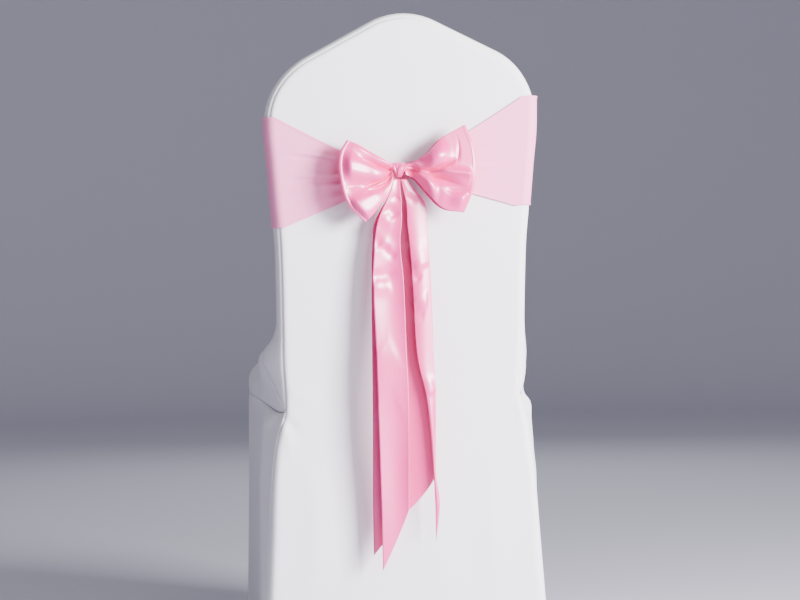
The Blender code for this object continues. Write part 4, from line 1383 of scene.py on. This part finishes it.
# %% Band folds
BAND_CREASES = [
    # left of the bow: the fold that laps over, then the long ones below it
    ([(-0.176, -0.218, 0.771), (-0.130, -0.218, 0.765), (-0.080, -0.218, 0.757), (-0.02, -0.218, 0.748)],
     0.0038, 0.0051, (0.6, 0.0)),
    ([(-0.178, -0.218, 0.765), (-0.130, -0.218, 0.758), (-0.080, -0.218, 0.750), (-0.02, -0.218, 0.744)],
     0.0029, -0.0036, (0.5, 0.0)),
    ([(-0.184, -0.218, 0.737), (-0.140, -0.218, 0.735), (-0.070, -0.218, 0.737), (-0.02, -0.218, 0.740)],
     0.0043, 0.0045, (0.6, 0.0)),
    ([(-0.180, -0.218, 0.728), (-0.130, -0.218, 0.728), (-0.070, -0.218, 0.731), (-0.02, -0.218, 0.737)],
     0.0032, -0.0045, (0.4, 0.0)),
    ([(-0.182, -0.218, 0.712), (-0.140, -0.218, 0.717), (-0.080, -0.218, 0.723), (-0.02, -0.218, 0.734)],
     0.0041, 0.0048, (0.5, 0.0)),
    ([(-0.182, -0.218, 0.686), (-0.140, -0.218, 0.693), (-0.080, -0.218, 0.708), (-0.02, -0.218, 0.731)],
     0.0040, 0.0039, (0.5, 0.0)),
    ([(-0.170, -0.218, 0.701), (-0.130, -0.218, 0.706), (-0.080, -0.218, 0.716), (-0.02, -0.218, 0.733)],
     0.0031, -0.0033, (0.5, 0.0)),
    # right of the bow: shallower
    ([(0.165, -0.220, 0.786), (0.125, -0.220, 0.774), (0.080, -0.220, 0.763), (0.02, -0.219, 0.749)],
     0.0041, 0.0036, (0.7, 0.0)),
    ([(0.160, -0.220, 0.747), (0.120, -0.220, 0.748), (0.070, -0.220, 0.746), (0.02, -0.219, 0.742)],
     0.0041, 0.0036, (0.6, 0.0)),
    ([(0.150, -0.220, 0.757), (0.115, -0.220, 0.755), (0.070, -0.220, 0.751), (0.02, -0.219, 0.744)],
     0.0031, -0.0030, (0.5, 0.0)),
    ([(0.150, -0.220, 0.716), (0.115, -0.220, 0.722), (0.070, -0.220, 0.731), (0.02, -0.219, 0.737)],
     0.0041, 0.0030, (0.7, 0.0)),
]
BAND_RIM = 0.0009  # the folded edge stands a little proud
BAND_RIM_WIDTH = 0.0024
BAND_DEEPEST = -0.0006  # no trough goes deeper, to keep the band clear of the cover


def band_height(points):
    top, foot = dense(band[:, 0]), dense(band[:, -1])
    rims = near_line(points, np.vstack([top, foot]), BAND_RIM_WIDTH)
    return np.maximum(creases(points, BAND_CREASES), BAND_DEEPEST) + BAND_RIM * rims


outward = [band[:, ::-1]]
sash_band = cloth("sash_band_knit", outward, sash_knit, SASH_THICKNESS, height=band_height, closed=True)
declare(
    sash_band, "sash_band", "sash_knit", (0.74, 0.165),
    "stretched", rests_on=[outside_back], area=0.115,
)

# %% [markdown]
# ## The bow's loops
#
# Each loop is one length of ribbon that leaves the knot, fans out, turns back at a pressed bend and
# returns behind itself. A cloth simulation of a tied bow is slow and hard to steer, so the loop is a
# lofted grid: its front layer, bend and rear layer in columns. Its folds fan out from the neck. Each
# one is given by the levels it passes through, between the loop's lower edge (-1) and its top edge (1),
# at shares of the loop's length. Sharp pleats make the dark lines, and flat-topped puffs make the broad
# highlights between them.

# %% Loop sizes
KNOT = np.array((-0.0085, REAR_Y - 0.051, 0.741))
LOOP_COLUMNS = ("share", "half_height", "lift", "front", "rear")
LEFT_LOOP_ROWS = [
    (0.00, 0.0100, -0.0030, -0.0050, 0.0050),
    (0.12, 0.0205, -0.0095, -0.0085, 0.0065),
    (0.50, 0.0385, -0.0135, -0.0140, 0.0070),
    (0.80, 0.0520, -0.0155, -0.0225, -0.0030),
    (1.00, 0.0590, -0.0165, -0.0245, -0.0195),
]
RIGHT_LOOP_ROWS = [
    (0.00, 0.0070, 0.0005, -0.0050, 0.0050),
    (0.15, 0.0125, -0.0010, -0.0105, 0.0065),
    (0.35, 0.0275, -0.0050, -0.0170, 0.0070),
    (0.60, 0.0495, -0.0055, -0.0235, 0.0030),
    (1.00, 0.0640, 0.0000, -0.0225, -0.0185),
]
REACH_COLUMNS = ("level", "reach")
LEFT_REACH_ROWS = [
    (-1.0, 0.052),
    (-0.67, 0.072),
    (-0.4, 0.081),
    (0.0, 0.087),
    (0.4, 0.089),
    (0.75, 0.085),
    (1.0, 0.076),
]
RIGHT_REACH_ROWS = [(-1.0, 0.091), (-0.5, 0.104), (0.0, 0.1085), (0.5, 0.106), (1.0, 0.095)]
LOOP_NECK = 0.0090
LOOP_LEVELS = 110
LOOP_SHARES = 76
LOOP_TURNS = 8
LOOP_THICKNESS = 0.0006
LOOP_EDGE_DEPTH = 0.72  # the top and lower edges lie nearer to the band than the middle
LOOP_BEND = 0.0020  # the outer bend is pressed nearly flat
PRESS_AT = 0.985  # share of the loop's length where the pressed line runs
PRESS_HEIGHT = 0.0005
PRESS_WIDTH = 0.006
FOLD_COLUMNS = ("share", "level")
SHARP_FOLD = 1.5


def fold_height(level, share, half, folds):
    """Ridges (or troughs) that follow a curve of levels along the loop, each a few millimetres wide.

    The power sets a fold's section: 1.5 is a sharp pleat, and 3 a puff with a flat top and steep sides.
    """
    total = 0.0
    for curve, width, height, (swell, fade), *power in folds:
        middle = read(curve, FOLD_COLUMNS, "share", "level", share)
        size = height * ease(share, curve[0][0] - 0.02, curve[0][0] + swell)
        size = size * ease(-share, -curve[-1][0] - 0.02, -curve[-1][0] + fade)
        away = np.abs((level - middle) * half / width)
        total = total + size * np.exp(-(away ** (power[0] if power else SHARP_FOLD)))
    return total


# Each fold: (share, level) places along it, width, height, the shares over which it swells and fades,
# and its power where it isn't a sharp one
LEFT_FRONT_FOLDS = [
    ([(0.0, 0.92), (0.5, 0.92), (1.0, 0.92)], 0.0060, 0.0050, (0.10, 0.35)),
    ([(0.0, 0.42), (0.25, 0.58), (0.80, 0.74)], 0.0034, -0.0114, (0.08, 0.60)),
    ([(0.0, 0.15), (0.4, 0.34), (0.96, 0.42)], 0.0180, 0.0100, (0.40, 0.16), 3.0),
    ([(0.0, 0.02), (0.2, -0.12), (0.42, -0.22), (0.68, -0.30)], 0.0042, -0.0125, (0.08, 0.40)),
    ([(0.0, -0.16), (0.3, -0.30), (0.60, -0.34)], 0.0030, 0.0050, (0.10, 0.30)),
    ([(0.0, -0.34), (0.3, -0.44), (0.70, -0.44)], 0.0040, -0.0100, (0.08, 0.45)),
    ([(0.1, -0.60), (0.5, -0.72), (1.0, -0.74)], 0.0150, 0.0090, (0.40, 0.16), 3.0),
    ([(0.5, -0.14), (0.75, -0.16), (1.0, -0.16)], 0.0080, -0.0045, (0.30, 0.20)),
]
RIGHT_FRONT_FOLDS = [
    ([(0.22, 0.80), (0.45, 0.66), (0.72, 0.58)], 0.0150, 0.0140, (0.20, 0.28), 2.2),
    ([(0.05, 0.30), (0.3, 0.10), (0.55, 0.20), (0.78, 0.36)], 0.0036, -0.0117, (0.15, 0.30)),
    ([(0.74, 0.30), (0.80, 0.50), (0.84, 0.76)], 0.0070, -0.0030, (0.06, 0.08)),
    ([(0.0, 0.05), (0.48, 0.06), (0.75, -0.02), (1.0, -0.16)], 0.0056, 0.0085, (0.25, 0.10)),
    ([(0.0, -0.25), (0.30, -0.14), (0.60, -0.24), (0.95, -0.44)], 0.0075, -0.0130, (0.10, 0.45)),
    ([(0.14, -0.05), (0.26, -0.12), (0.36, -0.20)], 0.0026, -0.0052, (0.06, 0.06)),
    ([(0.14, -0.10), (0.28, -0.34), (0.40, -0.62), (0.54, -0.90)], 0.0100, 0.0130, (0.08, 0.25), 2.2),
    ([(0.66, -0.62), (0.82, -0.70), (1.0, -0.74)], 0.0110, 0.0060, (0.25, 0.12), 2.2),
    ([(0.55, -0.48), (0.80, -0.52), (1.0, -0.54)], 0.0040, -0.0040, (0.20, 0.15)),
    ([(0.0, 0.70), (0.10, 0.66), (0.34, 0.50)], 0.0020, 0.0032, (0.03, 0.16)),
    ([(0.0, 0.20), (0.10, 0.24), (0.22, 0.24)], 0.0016, 0.0030, (0.03, 0.10)),
    ([(0.0, -0.10), (0.10, -0.06), (0.20, -0.02)], 0.0014, -0.0034, (0.03, 0.10)),
]
REAR_FOLDS = [
    ([(0.0, 0.50), (0.4, 0.55), (0.9, 0.60)], 0.0060, 0.0030, (0.10, 0.50)),
    ([(0.0, 0.00), (0.4, 0.05), (0.9, 0.05)], 0.0060, 0.0030, (0.10, 0.50)),
    ([(0.0, -0.50), (0.4, -0.50), (0.9, -0.55)], 0.0060, 0.0030, (0.10, 0.50)),
]


# %% Loops
OUTWARD = {"front": -1, "rear": 1}
FOLDS_END = {"front": (0.93, 0.99), "rear": (0.6, 0.9)}  # shares over which the folds run out


def loop_layer(loop, side, layer, shares, levels):
    """Columns of a loop's front or rear layer, top edge to lower edge, at shares of the loop's length."""
    shares, levels = shares[:, None], levels[None, :]
    names = ("half_height", "lift", layer)
    half, lift, depth = (read(loop["rows"], LOOP_COLUMNS, "share", name, shares) for name in names)
    longest = read(loop["reach"], REACH_COLUMNS, "level", "reach", levels)
    reach = LOOP_NECK + shares * (longest - LOOP_NECK)
    crown = LOOP_EDGE_DEPTH + (1 - LOOP_EDGE_DEPTH) * np.cos(levels * math.pi / 2)
    fold = fold_height(levels, shares, half, loop[layer + "_folds"])
    fold = fold * (1 - ease(shares, *FOLDS_END[layer]))
    fold = fold + PRESS_HEIGHT * np.exp(-(((shares - PRESS_AT) / PRESS_WIDTH) ** 2))
    y = KNOT[1] + depth * crown + OUTWARD[layer] * fold
    return stack(KNOT[0] + side * reach, y, KNOT[2] + lift + half * levels)


def loop_grid(loop, side):
    """A whole loop: the front layer out, the turn and the rear layer back, closer at the bend."""
    levels = np.linspace(1.0, -1.0, LOOP_LEVELS)
    shares = 1.0 - (1.0 - np.linspace(0.0, 1.0, LOOP_SHARES)) ** 1.5
    front = loop_layer(loop, side, "front", shares, levels)
    rear = loop_layer(loop, side, "rear", shares, levels)
    turns = np.linspace(0.0, math.pi, LOOP_TURNS)[1:-1, None, None]
    bend = (front[-1] + rear[-1]) / 2 + (front[-1] - rear[-1]) / 2 * np.cos(turns)
    bend[..., 0] += side * LOOP_BEND * np.sin(turns)[..., 0]
    return np.concatenate([front, bend, rear[::-1]])


def make_loop(name, node, loop, side):
    grid = loop_grid(loop, side)
    piece = cloth(name, [grid if side > 0 else grid[:, ::-1]], satin, LOOP_THICKNESS)
    declare(piece, node, "sash_satin", (0.100, 0.200), "gathered", rests_on=["bow_knot_satin"])
    return piece


left_loop = {
    "rows": LEFT_LOOP_ROWS,
    "reach": LEFT_REACH_ROWS,
    "front_folds": LEFT_FRONT_FOLDS,
    "rear_folds": REAR_FOLDS,
}
right_loop = {
    "rows": RIGHT_LOOP_ROWS,
    "reach": RIGHT_REACH_ROWS,
    "front_folds": RIGHT_FRONT_FOLDS,
    "rear_folds": REAR_FOLDS,
}
make_loop("bow_loop_left_satin", "bow_loop_left", left_loop, -1)
make_loop("bow_loop_right_satin", "bow_loop_right", right_loop, 1)

# %% [markdown]
# ## The knot
#
# A short length of the same ribbon is wrapped upright round the necks of the loops. It is drawn tight,
# so it is narrow, and wider at the top than at the foot. Sculpting would do, but rings of points are
# quicker to keep even: each ring goes once round the wrap, and a lap and two dents are pressed into its
# face by short formulas.

# %% Knot
KNOT_HALF = (0.0118, 0.0092, 0.0112)
KNOT_ROWS = [(-1.0, 0.38), (-0.5, 0.55), (0.1, 0.84), (0.6, 1.0), (1.0, 0.94)]
KNOT_COLUMNS = ("level", "width")
KNOT_RINGS, KNOT_STEPS = 64, 120
KNOT_THICKNESS = 0.0007
KNOT_PINCH = 0.30  # how far the outermost rings are drawn in
LAP_HEIGHT = 0.0012  # one turn of ribbon lies over the next along a slanting line
LAP_AT, LAP_SLANT, LAP_WIDTH = -0.25, 0.55, 0.10
# Each dent: its place across the knot, its width as a share of it, and its depth in metres
KNOT_DENTS = [(0.62, 0.09, 0.0022), (-0.55, 0.12, 0.0010)]


def knot_grid():
    """Rings round the wrap, whose width follows its height: wide at the top and narrow at the foot."""
    turns = np.linspace(0.0, 2 * math.pi, KNOT_STEPS, endpoint=False)[:, None]
    across = np.linspace(-1.0, 1.0, KNOT_RINGS)[None, :]
    y, z = -np.cos(turns), np.sin(turns)
    half_x = KNOT_HALF[0] * read(KNOT_ROWS, KNOT_COLUMNS, "level", "width", z)
    facing = np.clip(np.cos(turns), 0.0, 1.0)
    pinch = 1.0 - KNOT_PINCH * np.abs(across) ** 5
    relief = LAP_HEIGHT * np.tanh((across - LAP_AT - LAP_SLANT * z) / LAP_WIDTH)
    for place, width, depth in KNOT_DENTS:
        relief = relief - depth * np.exp(-(((across - place) / width) ** 2))
    half_y = KNOT_HALF[1] * pinch + facing * relief
    half_z = KNOT_HALF[2] * pinch
    return stack(KNOT[0] + half_x * across, KNOT[1] + half_y * y, KNOT[2] + half_z * z)


bow_knot = cloth("bow_knot_satin", [knot_grid()[:, ::-1]], satin, KNOT_THICKNESS, closed=True)
declare(bow_knot, "bow_knot", "sash_satin", (0.022, 0.062), "gathered", rests_on=["bow_loop_left_satin"])

# %% [markdown]
# ## The tails
#
# Both ends of the ribbon hang down from under the knot, folded lengthwise, so that a front half and a
# rear half show one beside the other, and each end is cut as a swallow tail. Each row of the grid goes
# from the front edge round the fold to the rear edge, and the front half is cupped a little between
# them. The ribbon's own stiffness gives it a few soft cross buckles, raised as short creases.

# %% Tail sizes
TAIL_COLUMNS = ("z", "front_x", "fold_x", "rear_x", "front", "fold", "rear")
LEFT_TAIL_ROWS = [
    (0.7275, -0.0165, -0.0080, -0.0155, -0.054, -0.053, -0.046),
    (0.7120, -0.0205, -0.0075, -0.0195, -0.055, -0.054, -0.044),
    (0.6950, -0.0286, -0.0059, -0.0286, -0.055, -0.053, -0.041),
    (0.6650, -0.0416, -0.0061, -0.0441, -0.054, -0.052, -0.037),
    (0.6370, -0.0456, -0.0086, -0.0476, -0.054, -0.051, -0.036),
    (0.5800, -0.0493, -0.0046, -0.0496, -0.053, -0.050, -0.035),
    (0.4780, -0.0466, -0.0019, -0.0506, -0.053, -0.050, -0.034),
    (0.4050, -0.0449, 0.0002, -0.0511, -0.052, -0.050, -0.034),
    (0.2500, -0.0423, -0.0018, -0.0536, -0.051, -0.049, -0.036),
]
RIGHT_TAIL_ROWS = [
    (0.7275, -0.0055, 0.0035, -0.0055, -0.050, -0.048, -0.042),
    (0.7120, -0.0025, 0.0150, -0.0055, -0.049, -0.046, -0.038),
    (0.6950, 0.0019, 0.0289, -0.0071, -0.047, -0.043, -0.034),
    (0.6600, 0.0036, 0.0324, -0.0094, -0.045, -0.041, -0.031),
    (0.6370, 0.0062, 0.0338, -0.0098, -0.044, -0.040, -0.029),
    (0.5700, 0.0103, 0.0379, -0.0101, -0.043, -0.039, -0.026),
    (0.4620, 0.0163, 0.0402, -0.0101, -0.042, -0.038, -0.025),
    (0.4050, 0.0286, 0.0421, -0.0101, -0.042, -0.038, -0.024),
    (0.3000, 0.0364, 0.0409, -0.0096, -0.041, -0.037, -0.024),
    (0.2450, 0.0386, 0.0504, -0.0096, -0.041, -0.037, -0.024),
]
LEFT_TAIL_ENDS = {"front": 0.154, "fold": 0.243, "rear": 0.175}
RIGHT_TAIL_ENDS = {"front": 0.192, "fold": 0.290, "rear": 0.229}
LEAF_STEPS = 26
TAIL_LENGTH_STEPS = 230
TAIL_THICKNESS = 0.0006
LEFT_CUP = 0.0045  # how far the front half is hollowed between its edge and the fold
RIGHT_CUP = -0.0028
CUP_SWAY = 0.35  # the share of the cup that comes and goes down the tail
CUP_WAVE = 23.0  # radians of that wave to a metre
REAR_CUP = 0.0022
FOLD_EASE = 1.15  # above 1, the columns lie closer at the fold
FOLD_ROUND = 0.0006


def tail_leaf(rows, ends, leaf, shares, z_shares, cup):
    """Rows of one half of a folded tail, at shares from its free edge (0) to the fold (1)."""
    foot = ends[leaf] + (ends["fold"] - ends[leaf]) * shares[None, :]
    z = rows[0][0] + (foot - rows[0][0]) * z_shares[:, None]
    names = (leaf + "_x", "fold_x", leaf, "fold")
    edge_x, fold_x, edge_y, fold_y = (read(rows[::-1], TAIL_COLUMNS, "z", name, z) for name in names)
    if leaf == "front":
        near_fold = 0.5 - 0.5 * np.cos(math.pi * shares)
        sway = 1 - CUP_SWAY + CUP_SWAY * np.sin(z * CUP_WAVE + 1.0)
        bend = cup * sway * np.sin(math.pi * shares)
    else:
        near_fold = shares**2
        bend = REAR_CUP * shares**4
    x = edge_x + (fold_x - edge_x) * (1 - (1 - shares) ** FOLD_EASE)
    y = edge_y + (fold_y - edge_y) * near_fold + bend
    return stack(x, y + REAR_Y, z)


def tail_grid(rows, ends, cup):
    """A whole tail: the front half, three columns round the fold, and the rear half."""
    z_shares = np.linspace(0.0, 1.0, TAIL_LENGTH_STEPS)
    shares = np.linspace(0.0, 1.0, LEAF_STEPS)
    front = tail_leaf(rows, ends, "front", shares, z_shares, cup)
    rear = tail_leaf(rows, ends, "rear", shares[::-1], z_shares, cup)
    turn = []
    for part in (0.25, 0.5, 0.75):
        middle = front[:, -1] * (1 - part) + rear[:, 0] * part
        middle[:, 0] += FOLD_ROUND * math.sin(math.pi * part)
        turn.append(middle[:, None])
    return np.concatenate([front, *turn, rear], axis=1)



# %% Tail buckles
# The buckles lie in the tails' plane, so their places have no depth
LEFT_TAIL_CREASES = [
    ([(-0.026, 0, 0.690), (-0.020, 0, 0.680), (-0.012, 0, 0.670)], 0.0075, -0.0026, (0.3, 0.3)),
    ([(-0.034, 0, 0.676), (-0.026, 0, 0.666), (-0.016, 0, 0.660)], 0.0093, 0.0017, (0.3, 0.3)),
    ([(-0.018, 0, 0.706), (-0.013, 0, 0.700), (-0.009, 0, 0.702)], 0.0053, -0.0015, (0.3, 0.3)),
    ([(-0.050, 0, 0.648), (-0.044, 0, 0.638), (-0.040, 0, 0.622)], 0.0078, -0.0022, (0.2, 0.3)),
    ([(-0.034, 0, 0.632), (-0.027, 0, 0.622), (-0.014, 0, 0.610)], 0.0056, -0.0020, (0.3, 0.2)),
    ([(-0.038, 0, 0.640), (-0.028, 0, 0.632), (-0.016, 0, 0.622)], 0.0090, 0.0020, (0.3, 0.3)),
    ([(-0.051, 0, 0.592), (-0.040, 0, 0.585), (-0.028, 0, 0.587), (-0.012, 0, 0.598)],
     0.0087, -0.0022, (0.2, 0.3)),
    ([(-0.050, 0, 0.576), (-0.036, 0, 0.571), (-0.020, 0, 0.575)], 0.0124, 0.0017, (0.3, 0.3)),
    ([(-0.048, 0, 0.480), (-0.032, 0, 0.472), (-0.012, 0, 0.478)], 0.0233, 0.0013, (0.3, 0.3)),
    ([(-0.046, 0, 0.400), (-0.028, 0, 0.392), (-0.010, 0, 0.396)], 0.0264, -0.0010, (0.3, 0.3)),
]
RIGHT_TAIL_CREASES = [
    ([(0.006, 0, 0.615), (0.010, 0, 0.598), (0.014, 0, 0.586), (0.024, 0, 0.578)],
     0.0068, -0.0023, (0.3, 0.2)),
    ([(0.012, 0, 0.640), (0.018, 0, 0.612), (0.027, 0, 0.592)], 0.0155, 0.0017, (0.3, 0.3)),
    ([(0.010, 0, 0.545), (0.018, 0, 0.532), (0.030, 0, 0.528)], 0.0109, -0.0015, (0.3, 0.3)),
    ([(0.016, 0, 0.560), (0.024, 0, 0.548), (0.034, 0, 0.546)], 0.0124, 0.0013, (0.3, 0.3)),
    ([(0.030, 0, 0.440), (0.035, 0, 0.420), (0.039, 0, 0.408)], 0.0078, 0.0015, (0.3, 0.3)),
    ([(0.002, 0, 0.705), (0.010, 0, 0.698), (0.020, 0, 0.690)], 0.0056, -0.0018, (0.2, 0.4)),
]


def make_tail(name, node, rows, ends, lines, cup):
    def height(points):
        return creases(points * (1.0, 0.0, 1.0), lines)

    grid = tail_grid(rows, ends, cup)
    piece = cloth(name, [grid], satin, TAIL_THICKNESS, height=height)
    declare(piece, node, "sash_satin", (0.100, 0.56), "folded", rests_on=[bow_knot], area=0.045)
    return piece


left_tail = (LEFT_TAIL_ROWS, LEFT_TAIL_ENDS, LEFT_TAIL_CREASES, LEFT_CUP)
right_tail = (RIGHT_TAIL_ROWS, RIGHT_TAIL_ENDS, RIGHT_TAIL_CREASES, RIGHT_CUP)
make_tail("tail_left_satin", "tail_left", *left_tail)
make_tail("tail_right_satin", "tail_right", *right_tail)
